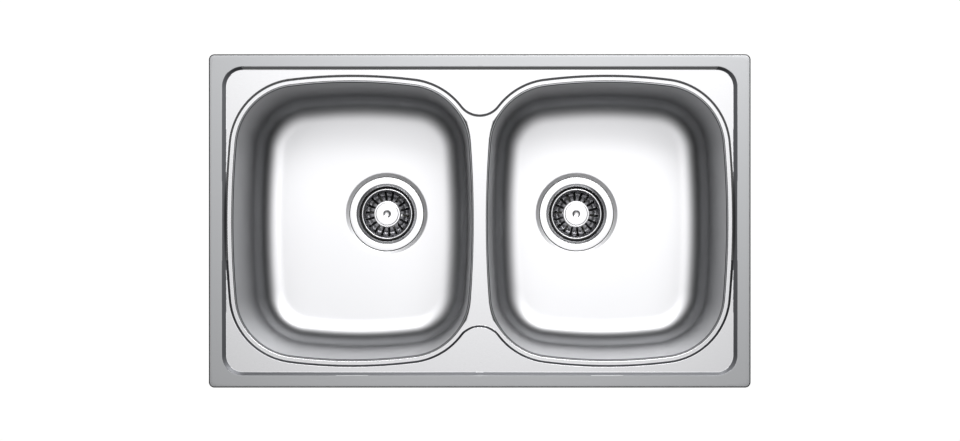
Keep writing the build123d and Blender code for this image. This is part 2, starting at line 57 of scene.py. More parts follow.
# ---------------------------------------------------------------- sizes in millimetres
# The solids have the same sizes, but for those that a docstring here names: these follow the photograph.
@dataclass(frozen=True)
class TopSizes:
    """Sizes of the pressed top.

    A step is given by the width of its slope (run) and the radius of both its arcs (bend). The panel's run
    changes from front to side over side_change, and where both steps meet they blend over a height of soften.
    On the solids the panel's run is 4.4 at the sides too.
    """

    half_length: float = 390.0
    half_width: float = 240.0
    corner: float = 8.0
    rim: float = 4.0
    panel: float = 1.5
    well: float = -1.0
    roll: float = 2.2
    panel_half_length: float = 368.0
    panel_half_width: float = 220.0
    panel_corner: float = 27.0
    panel_run: float = 4.4
    panel_side_run: float = 5.6
    well_run: float = 2.8
    well_margin: float = 8.0
    saddle_y: float = 185.75
    saddle_radius: float = 34.0
    saddle_half_turn: float = 52.6
    step_bend: float = 2.4
    well_bend: float = 1.44
    side_change: float = 24.0
    soften: float = 0.5
    sheet: float = 0.8


@dataclass(frozen=True)
class BowlSizes:
    """Sizes of a drawn bowl: its mouth of tangent arcs, its wall and its floor.

    On the solids the lip's radius is 4.0 and the wall's draft 3.0 degrees.
    """

    x: float = 183.5
    half_length: float = 173.5
    half_width: float = 201.0
    corner_x: float = 77.5
    corner_y: float = 104.6
    corner: float = 91.5
    side_radius: float = 1309.4
    side_angle: float = 4.93
    end_radius: float = 706.8
    end_angle: float = 82.76
    land: float = 1.0
    lip: float = 1.6
    wall_draft: float = 4.12
    floor: float = -156.0
    floor_bend: float = 40.0
    drain_x: float = 146.6
    drain_y: float = 10.8
    dish_radius: float = 63.3
    dish_flat: float = 57.8
    dish: float = -159.0
    dish_bend: float = 4.0
    dish_margin: float = 5.0
    hole: float = 46.2
    sheet: float = 0.8


@dataclass(frozen=True)
class DrainSizes:
    """Sizes of the strainer, its basket and the waste under it.

    On the solids the basket's slots are 2.6 wide and run from 21.6 to 34.8, the first one lies on the other side
    of the top, the knob's crown is 2.6 high and the gasket under the flange reaches to 55.8.
    """

    flange: float = 56.6
    flange_top: float = -157.2
    throat: float = 42.5
    throat_bend: float = 3.7
    seat_top: float = -168.2
    seat_foot: float = -172.2
    cup: float = 38.5
    cup_floor: float = -197.2
    cup_bend: float = 4.0
    steel: float = 0.8
    basket_rim: float = -164.2
    basket_rim_radius: float = 38.9
    basket_mouth: float = 37.2
    basket_floor_radius: float = 30.0
    basket_floor: float = -180.7
    basket_gauge: float = 0.6
    basket_slots: int = 18
    slot_start: float = 20.6
    slot_end: float = 34.4
    slot_width: float = 3.2
    slot_turn: float = -5.0
    seal_top: float = -168.0
    seal_height: float = 3.6
    seal_top_radius: float = 41.9
    seal_foot_radius: float = 38.6
    seal_hug: float = 0.71
    gasket_inner: float = 47.5
    gasket_outer: float = 57.7
    gasket_gauge: float = 1.0
    knob: float = 20.0
    knob_top: float = -164.7
    knob_crown: float = 17.0
    knob_crown_height: float = 2.2
    knob_plate: float = 3.0
    knob_neck: float = 8.0
    knob_bore: float = 2.55
    dimple: float = 6.0
    dimple_depth: float = 1.8
    body_flange: float = 57.0
    body_top: float = -163.8
    body_flange_height: float = 4.0
    body_inner: float = 47.0
    body_seal_gauge: float = 4.0
    body_wall: float = 2.6
    shoulder: float = -204.8
    outlet_top: float = -218.8
    outlet: float = 23.9
    outlet_bore: float = 20.0
    outlet_foot: float = -251.8
    hub: float = 8.5
    hub_height: float = 16.0
    hub_bore: float = 3.35
    nut_pocket: float = 5.4
    nut_height: float = 5.0
    rib_gauge: float = 3.0
    rib_inner: float = 6.0
    clamp: float = 3.0
    clamp_length: float = 26.0
    clamp_head: float = 8.0
    clamp_head_height: float = 11.0
    socket: float = 4.3
    socket_floor: float = 1.5
    stem: float = 2.5
    stem_reach: float = 8.0
    plug: float = 3.9
    plug_foot: float = 1.8
    plug_height: float = 6.0
    ring_bore: float = 2.56
    ring: float = 4.25
    ring_foot: float = 6.05
    ring_top: float = 7.3


TOP = TopSizes()
BOWL = BowlSizes()
DRAIN = DrainSizes()


class Side(Enum):
    """The two bowls, by the sign of their X."""

    LEFT = -1
    RIGHT = 1

    @property
    def label(self) -> str:
        """Name of the side as the solids spell it."""
        return self.name.lower()

    @property
    def drain(self) -> tuple[float, float]:
        """Middle of this side's drain in millimetres."""
        return self.value * BOWL.drain_x, BOWL.drain_y


# ---------------------------------------------------------------- meshes from arrays
def make_mesh(name: str, points: Array, faces: Array, smooth: bool = True) -> bpy.types.Object:
    """Make an object from points in millimetres and faces.

    A corner that repeats the one before it is left out, so a quad with a folded side becomes a triangle and
    one with two folded sides is dropped.

    Args:
        name: Name of the object and its mesh.
        points: Array of shape (n, 3) in millimetres.
        faces: Array of shape (m, 3) or (m, 4) of indices.
        smooth: Whether its faces are shaded smooth.

    Returns:
        The object, linked to the scene, at the origin.
    """
    mesh = bpy.data.meshes.new(name)
    corner = faces != np.roll(faces, 1, axis=1)
    sides = corner.sum(axis=1)
    corner &= (sides > 2)[:, None]
    loops, sides = faces[corner], sides[sides > 2]
    mesh.vertices.add(len(points))
    mesh.vertices.foreach_set("co", (np.asarray(points, float) * MM).ravel())
    mesh.loops.add(len(loops))
    mesh.loops.foreach_set("vertex_index", loops.astype(np.int32))
    mesh.polygons.add(len(sides))
    mesh.polygons.foreach_set("loop_start", (np.cumsum(sides) - sides).astype(np.int32))
    mesh.polygons.foreach_set("use_smooth", np.full(len(sides), smooth))
    mesh.update(calc_edges=True)
    mesh.validate()
    thing = bpy.data.objects.new(name, mesh)
    bpy.context.scene.collection.objects.link(thing)
    return thing


def grid_faces(rows: int, columns: int, wrap_rows: bool = False, wrap_columns: bool = False) -> Array:
    """Quads of a grid of points stored row by row.

    Args:
        rows: Number of rows.
        columns: Number of columns.
        wrap_rows: Whether the last row joins the first.
        wrap_columns: Whether the last column joins the first.

    Returns:
        Array of shape (quads, 4).
    """
    index = np.arange(rows * columns).reshape(rows, columns)
    if wrap_rows:
        index = np.vstack([index, index[:1]])
    if wrap_columns:
        index = np.hstack([index, index[:, :1]])
    return np.stack([index[:-1, :-1], index[:-1, 1:], index[1:, 1:], index[1:, :-1]], -1).reshape(-1, 4)


def face_centres(thing: bpy.types.Object) -> Array:
    """Middles of an object's faces.

    Args:
        thing: The object.

    Returns:
        Array of shape (faces, 3) in millimetres.
    """
    centre = np.empty(3 * len(thing.data.polygons))
    thing.data.polygons.foreach_get("center", centre)
    return centre.reshape(-1, 3) / MM


def dress(
    thing: bpy.types.Object, materials: list[bpy.types.Material], slot: str, body: str, *nodes: str
) -> bpy.types.Object:
    """Give a new piece its materials, its body and the solids that it stands for.

    Args:
        thing: The piece.
        materials: Its materials in the order of its faces' numbers.
        slot: Material slot of the record; not used.
        body: Body that it rides on.
        *nodes: Solids that it replaces.

    Returns:
        The piece.
    """
    for material in materials:
        thing.data.materials.append(material)
    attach(thing, body)
    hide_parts(*nodes)
    return thing


def weld(points: Array, faces: Array, places: int) -> tuple[Array, Array]:
    """Join points that lie together.

    Args:
        points: Array of shape (n, 3).
        faces: Quads as an array of shape (m, 4).
        places: Decimal places of a millimetre to compare.

    Returns:
        The joined points and the faces that refer to them.
    """
    _, first, back = np.unique(np.round(points, places), axis=0, return_index=True, return_inverse=True)
    return points[first], back.reshape(-1)[faces]


def arc(centre: tuple[float, float], radius: float, start: float, finish: float, steps: int) -> Array:
    """Points of an arc in a (radius, height) section: its centre plus radius times the angle's cosine and sine.

    Args:
        centre: Its centre.
        radius: Its radius.
        start: Angle of its first point in degrees, from the outward direction.
        finish: Angle of its last point in degrees.
        steps: Number of steps.

    Returns:
        Array of shape (steps + 1, 2).
    """
    turn = np.radians(np.linspace(start, finish, steps + 1))
    return np.column_stack([centre[0] + radius * np.cos(turn), centre[1] + radius * np.sin(turn)])


def rounded(corners: list[tuple[float, float, float]], steps: int = 5, closed: bool = False) -> Array:
    """A section drawn through corners, each rounded by its own radius.

    The arc touches both runs of its corner at radius * tan(half the turn) from it.

    Args:
        corners: Places and radii of the corners as (radius, height, rounding).
        steps: Steps of each rounding.
        closed: Whether the last corner joins the first.

    Returns:
        Array of shape (n, 2).
    """
    places = np.array([corner[:2] for corner in corners], float)
    points = []
    for n, (x, y, bend) in enumerate(corners):
        here = np.array([x, y], float)
        if bend <= 0 or (not closed and n in (0, len(corners) - 1)):
            points.append(here)
            continue
        before = places[n - 1] - here
        after = places[(n + 1) % len(corners)] - here
        before, after = before / np.linalg.norm(before), after / np.linalg.norm(after)
        half = np.arccos(np.clip(before @ after, -1, 1)) / 2
        middle = (before + after) / np.linalg.norm(before + after)
        centre = here + middle * bend / np.sin(half)
        first = here + before * bend / np.tan(half) - centre
        last = here + after * bend / np.tan(half) - centre
        share = np.linspace(0, 1, steps + 1)[:, None]
        spread = np.arccos(np.clip(first @ last / bend**2, -1, 1))
        along = np.sin((1 - share) * spread) * first + np.sin(share * spread) * last
        points.extend(centre + along / np.sin(spread))
    return np.array(points)


def revolve(
    name: str,
    section: Array,
    at: tuple[float, float],
    columns: int = 96,
    closed: bool = True,
    thread: "Thread | None" = None,
) -> bpy.types.Object:
    """Turn a (radius, height) section round an upright axis.

    A point's x and y are the axis plus its radius times the cosine and sine of its bearing.

    Args:
        name: Name of the object.
        section: Array of shape (n, 2), which runs anticlockwise seen with the axis on its left.
        at: Place of the axis in millimetres.
        columns: Steps round the axis.
        closed: Whether the section's last point joins its first.
        thread: Thread cut into the surface, if any.

    Returns:
        The object, with points on the axis joined into a pole each.
    """
    turn = np.linspace(0, 2 * np.pi, columns, endpoint=False)
    radius = np.repeat(section[:, :1], columns, axis=1)
    height = np.repeat(section[:, 1:], columns, axis=1)
    if thread:
        radius = radius - thread.depth_at(radius, height, turn[None, :])
    x, y = at[0] + radius * np.cos(turn), at[1] + radius * np.sin(turn)
    points = np.stack([x, y, height], -1).reshape(-1, 3)
    points, faces = weld(points, grid_faces(len(section), columns, closed, True), 5)
    return make_mesh(name, points, faces)


@dataclass(frozen=True)
class Thread:
    """A screw thread cut into a round surface."""

    pitch: float
    depth: float
    foot: float
    top: float
    least_radius: float
    flank: float = 2.6
    crest: float = 0.15

    def depth_at(self, radius: Array, height: Array, turn: Array) -> Array:
        """Depth of the cut: a triangle wave of height over pitch less turns, faded out at both ends.

        Args:
            radius: Radii of the points.
            height: Heights of the points.
            turn: Bearings of the points in radians.

        Returns:
            Depths in millimetres, 0 on points inside least_radius.
        """
        phase = (height / self.pitch - turn / (2 * np.pi)) % 1
        wave = np.clip(np.abs(phase - 0.5) * self.flank - self.crest, 0, 1)
        fade = np.clip((height - self.foot) / self.pitch, 0, 1)
        fade *= np.clip((self.top - height) / self.pitch, 0, 1)
        return np.where(radius > self.least_radius, self.depth * wave * fade, 0)


def lengthen(section: Array, foot: float, top: float, step: float) -> Array:
    """Add points along the upright run of a section between two heights.

    Args:
        section: Array of shape (n, 2).
        foot: Height to start from.
        top: Height to end at.
        step: Most distance between two points there.

    Returns:
        The section with more points.
    """
    runs = [section[:1]]
    for start, finish in zip(section, section[1:]):
        low, high = sorted((start[1], finish[1]))
        upright = abs(start[0] - finish[0]) < 1e-6 and low < top and high > foot
        count = int(np.ceil(np.linalg.norm(finish - start) / step)) if upright else 1
        runs.append(start + np.linspace(0, 1, count + 1)[1:, None] * (finish - start))
    return np.vstack(runs)


@dataclass(frozen=True)
class SlotWheel:
    """Slots along the radii of a round pressing, with half-round ends."""

    count: int
    start: float
    end: float
    width: float
    turn: float
    across: int = 6
    between: int = 6
    least_share: float = 0.12
    most_share: float = 0.75

    def marks(self, path: Array) -> tuple[Array, float, float]:
        """Places along a pressing's path that its slots need, besides the path's own points.

        Args:
            path: The pressing's section from its edge inwards, with radii that only fall near the slots.

        Returns:
            Lengths along the path, and those of the slots' outer and inner ends.
        """
        length = np.concatenate([[0], np.cumsum(np.linalg.norm(np.diff(path, axis=0), axis=1))])
        outer = float(np.interp(-self.end, -path[:, 0], length))
        inner = float(np.interp(-self.start, -path[:, 0], length))
        bend = self.width / 2 * (1 - np.cos(np.radians(np.linspace(0, 90, 6))))
        before = outer - np.array([self.width / 2, self.width / 8])
        after = inner + np.array([self.width / 8, self.width / 2])
        every = np.concatenate([length, outer + bend, inner - bend, before, after])
        every = np.unique(np.round(every[(every >= 0) & (every <= length[-1])], 5))
        keep = np.concatenate([[True], np.diff(every) > LEAST_STEP])
        return every[keep], outer, inner

    def openings(self, place: Array, outer: float, inner: float, radius: Array) -> Array:
        """Half the width between the grid lines that edge the slots.

        Along a slot it is half the slot, at its ends the height of their half circles, and beyond them it eases
        back.

        Args:
            place: Lengths along the path.
            outer: Length at the slots' outer ends.
            inner: Length at the slots' inner ends.
            radius: Radii there.

        Returns:
            Half widths in millimetres.
        """
        half = self.width / 2
        deep = np.clip(np.minimum(place - outer, inner - place), 0, half)
        beyond = np.clip(np.maximum(outer - place, place - inner), 0, half)
        arch = np.sqrt(np.maximum(half**2 - (half - deep) ** 2, 0))
        wide = np.maximum(np.maximum(arch, beyond), self.least_share * half)
        return np.minimum(wide, self.most_share * radius * np.sin(np.pi / self.count))

    def press(self, name: str, path: Array, at: tuple[float, float], gauge: float) -> bpy.types.Object:
        """Turn the path round its axis with the slots cut out, and give the sheet its gauge.

        Args:
            name: Name of the object.
            path: Section of the upper surface from its edge inwards.
            at: Place of the axis in millimetres.
            gauge: Gauge of the sheet in millimetres.

        Returns:
            The object.
        """
        length = np.concatenate([[0], np.cumsum(np.linalg.norm(np.diff(path, axis=0), axis=1))])
        place, outer, inner = self.marks(path)
        radius = np.interp(place, length, path[:, 0])
        height = np.interp(place, length, path[:, 1])
        sector = 2 * np.pi / self.count
        edge = np.arcsin(self.openings(place, outer, inner, radius) / radius)
        across = np.linspace(-1, 1, self.across + 1)[None, :] * edge[:, None]
        share = np.linspace(0, 1, self.between + 1)[1:-1]
        between = edge[:, None] * (1 - share) + (sector - edge[:, None]) * share
        local = np.hstack([across, between])
        bearing = np.radians(self.turn) + np.hstack([local + n * sector for n in range(self.count)])
        x, y = at[0] + radius[:, None] * np.cos(bearing), at[1] + radius[:, None] * np.sin(bearing)
        points = np.stack([x, y, np.broadcast_to(height[:, None], bearing.shape)], -1)
        columns = bearing.shape[1]
        faces = grid_faces(len(place), columns, False, True).reshape(len(place) - 1, columns, 4)
        in_slot = np.tile(np.arange(self.across + self.between) < self.across, self.count)
        middle = (place[1:] + place[:-1]) / 2
        cut = ((middle > outer) & (middle < inner))[:, None] & in_slot[None, :]
        thing = make_mesh(name, points.reshape(-1, 3), faces[~cut])
        solidify(thing, gauge)
        return thing


def solidify(thing: bpy.types.Object, gauge: float, back_slot: int = 0) -> None:
    """Give a sheet its gauge on the side away from its face normals.

    Args:
        thing: The sheet.
        gauge: Its gauge in millimetres.
        back_slot: How many places after a face's own material that of its back stands, the last one at most.
    """
    modifier = thing.modifiers.new("gauge", "SOLIDIFY")
    modifier.thickness = gauge * MM
    modifier.offset = -1.0
    modifier.use_even_offset = True
    modifier.material_offset = back_slot


# ---------------------------------------------------------------- the mouth of a bowl
@dataclass(frozen=True)
class BowlMouth:
    """Outline of a bowl's mouth: in each quarter a side, a corner and an end arc, tangent to each other."""

    sizes: BowlSizes = BOWL

    def turns(self) -> Array:
        """Angles about the arcs' centres of the points round the mouth, closest where the steps bend most.

        Returns:
            Angles in degrees from 0 up to 360, the same for every ring of the top and of the bowl.
        """
        side = np.linspace(0, self.sizes.side_angle, 9)
        corner = np.linspace(self.sizes.side_angle, self.sizes.end_angle, 57)
        end = np.linspace(self.sizes.end_angle, 90, 9)
        quarter = np.unique(np.concatenate([side, corner, end]))
        from_x = self.sizes.x - self.sizes.corner_x
        on_centre_line = np.degrees(np.arctan2(CENTRE_PLACES - self.sizes.corner_y, from_x))
        inner = np.unique(np.concatenate([quarter, on_centre_line]))
        outer = np.unique(np.concatenate([quarter, np.linspace(43.5, 50.0, 21)]))
        whole = np.concatenate([outer, 180 - inner, 180 + inner, 360 - outer])
        return np.unique(np.round(whole[whole < 360 - 1e-9], 7))

    def point(self, turn: Array, grow: Array | float) -> Array:
        """Points on the outline moved outwards, relative to the bowl's middle.

        Args:
            turn: Angles in degrees.
            grow: How far outwards, in millimetres.

        Returns:
            Array with a last axis of (x, y).
        """
        sizes = self.sizes
        turn, grow = np.broadcast_arrays(turn, grow)
        across, along = np.cos(np.radians(turn)), np.sin(np.radians(turn))
        folded = np.degrees(np.arctan2(np.abs(along), np.abs(across)))
        side, end = folded <= sizes.side_angle, folded >= sizes.end_angle
        radius = np.where(side, sizes.side_radius, np.where(end, sizes.end_radius, sizes.corner)) + grow
        centre_x = np.where(side, sizes.half_length - sizes.side_radius, np.where(end, 0, sizes.corner_x))
        centre_y = np.where(side, 0, np.where(end, sizes.half_width - sizes.end_radius, sizes.corner_y))
        x = centre_x + radius * np.cos(np.radians(folded))
        y = centre_y + radius * np.sin(np.radians(folded))
        return np.stack([x * np.sign(across + 1e-12), y * np.sign(along + 1e-12)], -1)

    def normal(self, turn: Array) -> Array:
        """Outward directions at points of the outline.

        Args:
            turn: Angles in degrees.

        Returns:
            Array with a last axis of (x, y).
        """
        return np.stack([np.cos(np.radians(turn)), np.sin(np.radians(turn))], -1)

    def distance(self, x: Array, y: Array) -> Array:
        """Distance outwards from the outline, from the arc whose sector holds the point.

        Args:
            x: Places relative to the bowl's middle.
            y: Places relative to the bowl's middle.

        Returns:
            Distances in millimetres, negative inside.
        """
        sizes = self.sizes
        x, y = np.abs(x), np.abs(y)
        angle = np.degrees(np.arctan2(y - sizes.corner_y, x - sizes.corner_x))
        side = (angle <= sizes.side_angle) & (angle > -135)
        end = (angle >= sizes.end_angle) | (angle <= -135)
        by_side = np.hypot(x - sizes.half_length + sizes.side_radius, y) - sizes.side_radius
        by_end = np.hypot(x, y - sizes.half_width + sizes.end_radius) - sizes.end_radius
        by_corner = np.hypot(x - sizes.corner_x, y - sizes.corner_y) - sizes.corner
        return np.where(side, by_side, np.where(end, by_end, by_corner))


# where the grid lines of both halves meet on the sink's centre line: closest across the steps
CENTRE_PLACES = np.concatenate(
    [
        np.linspace(112, 147, 8),
        np.linspace(149, 154.4, 13),
        np.linspace(157, 211, 12),
        np.linspace(213.6, 221.6, 21),
        np.linspace(224, TOP.half_width - TOP.roll, 5),
    ]
)
MOUTH = BowlMouth()


# ---------------------------------------------------------------- the pressed top
def step_height(inward: Array, run: Array | float, drop: float, bend: float, endless: bool = False) -> Array:
    """Height of a pressed step: flat, arc, slope, arc, flat.

    The slope falls by drop over run, and each arc of the bend's radius touches the flat and the slope.

    Args:
        inward: Distance inwards from the middle of the slope.
        run: Width of the slope between the two flats' levels.
        drop: Height of the step.
        bend: Radius of both arcs.
        endless: Whether the slope goes on up instead of meeting the upper flat.

    Returns:
        Heights, 0 on the upper flat and -drop on the lower.
    """
    slope = np.arctan2(drop, run)
    tangent = bend * np.tan(slope / 2)
    line = -(inward + run / 2) * drop / run
    upper = inward + run / 2 + tangent
    lower = run / 2 + tangent - inward
    on_upper = (upper > 0) & (upper < bend * np.sin(slope))
    on_lower = (lower > 0) & (lower < bend * np.sin(slope))
    arc_upper = np.sqrt(np.maximum(bend**2 - np.clip(upper, 0, bend) ** 2, 0)) - bend
    arc_lower = -drop + bend - np.sqrt(np.maximum(bend**2 - np.clip(lower, 0, bend) ** 2, 0))
    height = np.where(lower <= 0, -drop, np.where(on_lower, arc_lower, line))
    if endless:
        return height
    return np.where(upper <= 0, 0.0, np.where(on_upper, arc_upper, height))


def rectangle_distance(x: Array, y: Array, half_x: float, half_y: float, corner: float) -> Array:
    """Distance inwards from a rectangle with rounded corners.

    Args:
        x: Places from its middle.
        y: Places from its middle.
        half_x: Half its length.
        half_y: Half its width.
        corner: Radius of its corners.

    Returns:
        Distances, positive inside.
    """
    across, along = np.abs(x) - half_x + corner, np.abs(y) - half_y + corner
    outside = np.hypot(np.maximum(across, 0), np.maximum(along, 0))
    return corner - outside - np.minimum(np.maximum(across, along), 0)


def panel_distance(x: Array, y: Array) -> Array:
    """Distance inwards from the middle of the deck panel's step, for places from the sink's middle."""
    return rectangle_distance(x, y, TOP.panel_half_length, TOP.panel_half_width, TOP.panel_corner)


def well_distance(x: Array, y: Array) -> Array:
    """Distance inwards from the edge of the sunk well, which is drawn in to a saddle between the bowls.

    Args:
        x: Places from the sink's middle.
        y: Places from the sink's middle.

    Returns:
        Distances, positive in the well.
    """
    x, y = np.abs(x), np.abs(y)
    round_bowl = TOP.well_margin - MOUTH.distance(x - BOWL.x, y)
    in_saddle = x < (TOP.saddle_y - y) * np.tan(radians(TOP.saddle_half_turn))
    return np.where(in_saddle, np.hypot(x, y - TOP.saddle_y) - TOP.saddle_radius, round_bowl)


def top_height(x: Array, y: Array) -> Array:
    """Height of the pressed top, where the deeper of its two steps counts and their meeting is softened.

    The panel's step runs wider at the sink's two sides than at its front and back, with a smooth change
    between.

    Args:
        x: Places from the sink's middle.
        y: Places from the sink's middle.

    Returns:
        Heights in millimetres.
    """
    inward = panel_distance(x, y)
    across, along = np.abs(x) - TOP.panel_half_length, np.abs(y) - TOP.panel_half_width
    at_side = np.clip((across - along) / TOP.side_change + 0.5, 0, 1)
    run = TOP.panel_run + (TOP.panel_side_run - TOP.panel_run) * at_side**2 * (3 - 2 * at_side)
    panel = TOP.rim + step_height(inward, run, TOP.rim - TOP.panel, TOP.step_bend)
    drop = TOP.panel - TOP.well
    well = TOP.panel + step_height(well_distance(x, y), TOP.well_run, drop, TOP.well_bend, True)
    near = np.maximum(TOP.soften - np.abs(panel - well), 0) / TOP.soften
    return np.minimum(panel, well) - near**2 * TOP.soften / 4


@dataclass
class PressedTop:
    """The sheet of the top: rolled edge, flat rim, deck panel, sunk well and the land round each bowl.

    Its grid is made of rays outwards from the mouth of a bowl. Each has the numbers of steps of `steps` between
    its marks, and the bands of closer lines reach well_band and panel_band to each side of the steps' middles.
    """

    materials: dict[str, bpy.types.Material]
    # the steps' skin and the edge's skin are painted shade
    skins: tuple[str, ...] = ("panel", "rim", "edge", "press_line", "back")
    steps: tuple[int, ...] = (4, 14, 4, 9, 9, 5)
    well_band: float = 2.4
    panel_band: float = 4.2
    samples: int = 900
    least_fall: float = 0.35
    longest: float = 900.0
    halvings: int = 48
    edge_drop: float = 0.04
    panel_line_margin: float = 0.1
    well_line_margin: float = 0.2
    well_line_front: float = -60.0

    def ray_lengths(self, start: Array, direction: Array) -> Array:
        """Length of each ray from the mouth's land to the roll of the rim or the sink's centre line.

        The rim is met where the distance inside its rounded rectangle falls to nothing, by halving.

        Args:
            start: Starts of the rays.
            direction: Unit directions of the rays.

        Returns:
            Lengths in millimetres.
        """
        half_x, half_y = TOP.half_length - TOP.roll, TOP.half_width - TOP.roll
        low = np.zeros(len(start))
        high = np.full(len(start), self.longest)
        for _ in range(self.halvings):
            middle = (low + high) / 2
            place = start + middle[:, None] * direction
            inside = rectangle_distance(place[:, 0], place[:, 1], half_x, half_y, TOP.corner - TOP.roll) > 0
            low, high = np.where(inside, middle, low), np.where(inside, high, middle)
        inwards = np.minimum(direction[:, 0], -1e-9)
        to_centre = np.where(direction[:, 0] < -1e-9, -start[:, 0] / inwards, np.inf)
        return np.minimum(low, to_centre)

    def leaving(self, inside: Array, share: Array, length: Array) -> tuple[Array, Array]:
        """Where each ray first leaves an outline, and how fast it does.

        Args:
            inside: Distances inside the outline along the rays, of shape (rays, places).
            share: Shares of the rays' lengths at which they were taken.
            length: Lengths of the rays.

        Returns:
            Length at the crossing, or the whole ray's, and the fall of the distance per length there.
        """
        beyond = inside <= 0
        met = beyond.any(axis=1)
        last = np.maximum(np.where(met, beyond.argmax(axis=1), inside.shape[1] - 1), 1)
        ray = np.arange(len(inside))
        before, after = inside[ray, last - 1], inside[ray, last]
        step = (share[last] - share[last - 1]) * length
        part = np.clip(before / np.maximum(before - after, 1e-9), 0, 1)
        place = share[last - 1] * length + part * step
        return np.where(met, place, length), np.clip((before - after) / step, self.least_fall, 1.0)

    def places(self, start: Array, direction: Array, length: Array) -> Array:
        """Places along each ray: the same number between the same marks on every ray.

        The marks are the land, both sides of the well's step, both sides and the middle of the panel's step,
        and the ray's end, so that neighbouring rays never slip against each other.

        Args:
            start: Starts of the rays.
            direction: Unit directions of the rays.
            length: Lengths of the rays.

        Returns:
            Lengths of shape (rays, places).
        """
        share = np.linspace(0, 1, self.samples)
        place = start[:, None] + (share * length[:, None])[..., None] * direction[:, None]
        well_at, well_fall = self.leaving(well_distance(place[..., 0], place[..., 1]), share, length)
        panel_at, panel_fall = self.leaving(panel_distance(place[..., 0], place[..., 1]), share, length)
        between = (well_at + panel_at) / 2
        marks = [
            np.zeros_like(length),
            well_at - self.well_band / well_fall,
            np.minimum(well_at + self.well_band / well_fall, between),
            np.maximum(panel_at - self.panel_band / panel_fall, between),
            panel_at,
            panel_at + self.panel_band / panel_fall,
            length,
        ]
        marks = np.maximum.accumulate(np.clip(np.stack(marks), 0, length), axis=0)
        runs = [
            first + (last - first) * np.linspace(0, 1, count, endpoint=False)[:, None]
            for first, last, count in zip(marks, marks[1:], self.steps)
        ]
        along = np.vstack([*runs, marks[-1:]]).T
        least = LEAST_STEP * np.arange(along.shape[1])
        return along * (1 - least[-1] / length[:, None]) + least

    def half(self) -> tuple[Array, Array]:
        """Points and quads of the half of the top with the right-hand bowl.

        Returns:
            Points of shape (n, 3) and quads of shape (m, 4).
        """
        turns = MOUTH.turns()
        start = MOUTH.point(turns, BOWL.land) + [BOWL.x, 0]
        direction = MOUTH.normal(turns)
        length = self.ray_lengths(start, direction)
        along = self.places(start, direction, length)
        flat = start[:, None] + along[..., None] * direction[:, None]
        sheet = np.dstack([flat, top_height(flat[..., 0], flat[..., 1])])
        rows = np.concatenate([sheet, self.rolled_edge(sheet[:, -1])], axis=1)
        faces = grid_faces(len(turns), rows.shape[1], wrap_rows=True)
        points, faces = weld(rows.reshape(-1, 3), faces, 4)
        beside_centre_line = (np.abs(points[faces, 0]) > 1e-3).any(axis=1)
        return points, faces[beside_centre_line]

    def rolled_edge(self, rim: Array) -> Array:
        """The quarter round of the rim and its skirt, hung from the outermost points of the rays.

        On the sink's centre line the points stay where they are, so those quads fold away.

        Args:
            rim: Outermost points of the rays.

        Returns:
            Array of shape (rays, steps, 3).
        """
        half_x, half_y = TOP.half_length - TOP.roll, TOP.half_width - TOP.roll
        corner = TOP.corner - TOP.roll
        on_rim = np.abs(rectangle_distance(rim[:, 0], rim[:, 1], half_x, half_y, corner)) < 1e-3
        reach = np.array([half_x - corner, half_y - corner])
        out = rim[:, :2] - np.clip(rim[:, :2], -reach, reach)
        out = out / np.maximum(np.linalg.norm(out, axis=1, keepdims=True), 1e-9)
        turn = np.radians(np.linspace(0, 90, 8)[1:])
        reach = np.append(TOP.roll * np.sin(turn), TOP.roll)
        fall = np.append(TOP.roll * (np.cos(turn) - 1), -TOP.rim)
        moved = rim[:, None, :2] + reach[None, :, None] * out[:, None] * on_rim[:, None, None]
        height = rim[:, None, 2] + fall[None] * on_rim[:, None]
        return np.dstack([moved, height])

    def build(self) -> bpy.types.Object:
        """Make the top from its half and the half's mirror image, welded on the centre line.

        Returns:
            The object, riding on the sink.
        """
        points, faces = self.half()
        both = np.vstack([points, points * [-1, 1, 1]])
        faces = np.vstack([faces, faces[:, ::-1] + len(points)])
        thing = make_mesh("pressed_top", *weld(both, faces, 3))
        thing.data.polygons.foreach_set("material_index", self.skin_numbers(face_centres(thing)))
        solidify(thing, TOP.sheet, len(self.skins) - 1)
        return dress(thing, [self.materials[key] for key in self.skins], "pressed_steel", "sink", "sink_top")

    def skin_numbers(self, centre: Array) -> Array:
        """Place in `skins` of each face: painted shade on its steps and turned-down edge, its rim, the panel
        elsewhere.

        The panel's step is painted with shade everywhere but along its straight at the back, the well's only at
        the front, and each a margin wider than its run.

        Args:
            centre: Middles of the faces, of shape (faces, 3).

        Returns:
            Array of whole numbers.
        """
        x, y, z = centre.T
        inside = panel_distance(x, y)
        on_rim = inside < 0
        # painted shade: the turned-down edge takes a near-black colour
        on_edge = on_rim & (z < TOP.rim - self.edge_drop) & (inside < -TOP.panel_side_run)
        off_back = (np.abs(x) > TOP.panel_half_length - TOP.panel_corner) | (y < 0)
        at_side = np.abs(x) - TOP.panel_half_length > np.abs(y) - TOP.panel_half_width
        run = np.where(at_side, TOP.panel_side_run, TOP.panel_run)
        # painted shade on the slopes of the steps
        on_line = off_back & (np.abs(inside) < run / 2 + self.panel_line_margin)
        on_well_line = np.abs(well_distance(x, y)) < TOP.well_run / 2 + self.well_line_margin
        on_line |= (y < self.well_line_front) & on_well_line
        numbers = [self.skins.index(key) for key in ("press_line", "edge", "rim")]
        return np.select([on_line, on_edge, on_rim], numbers, 0).astype(np.int32)


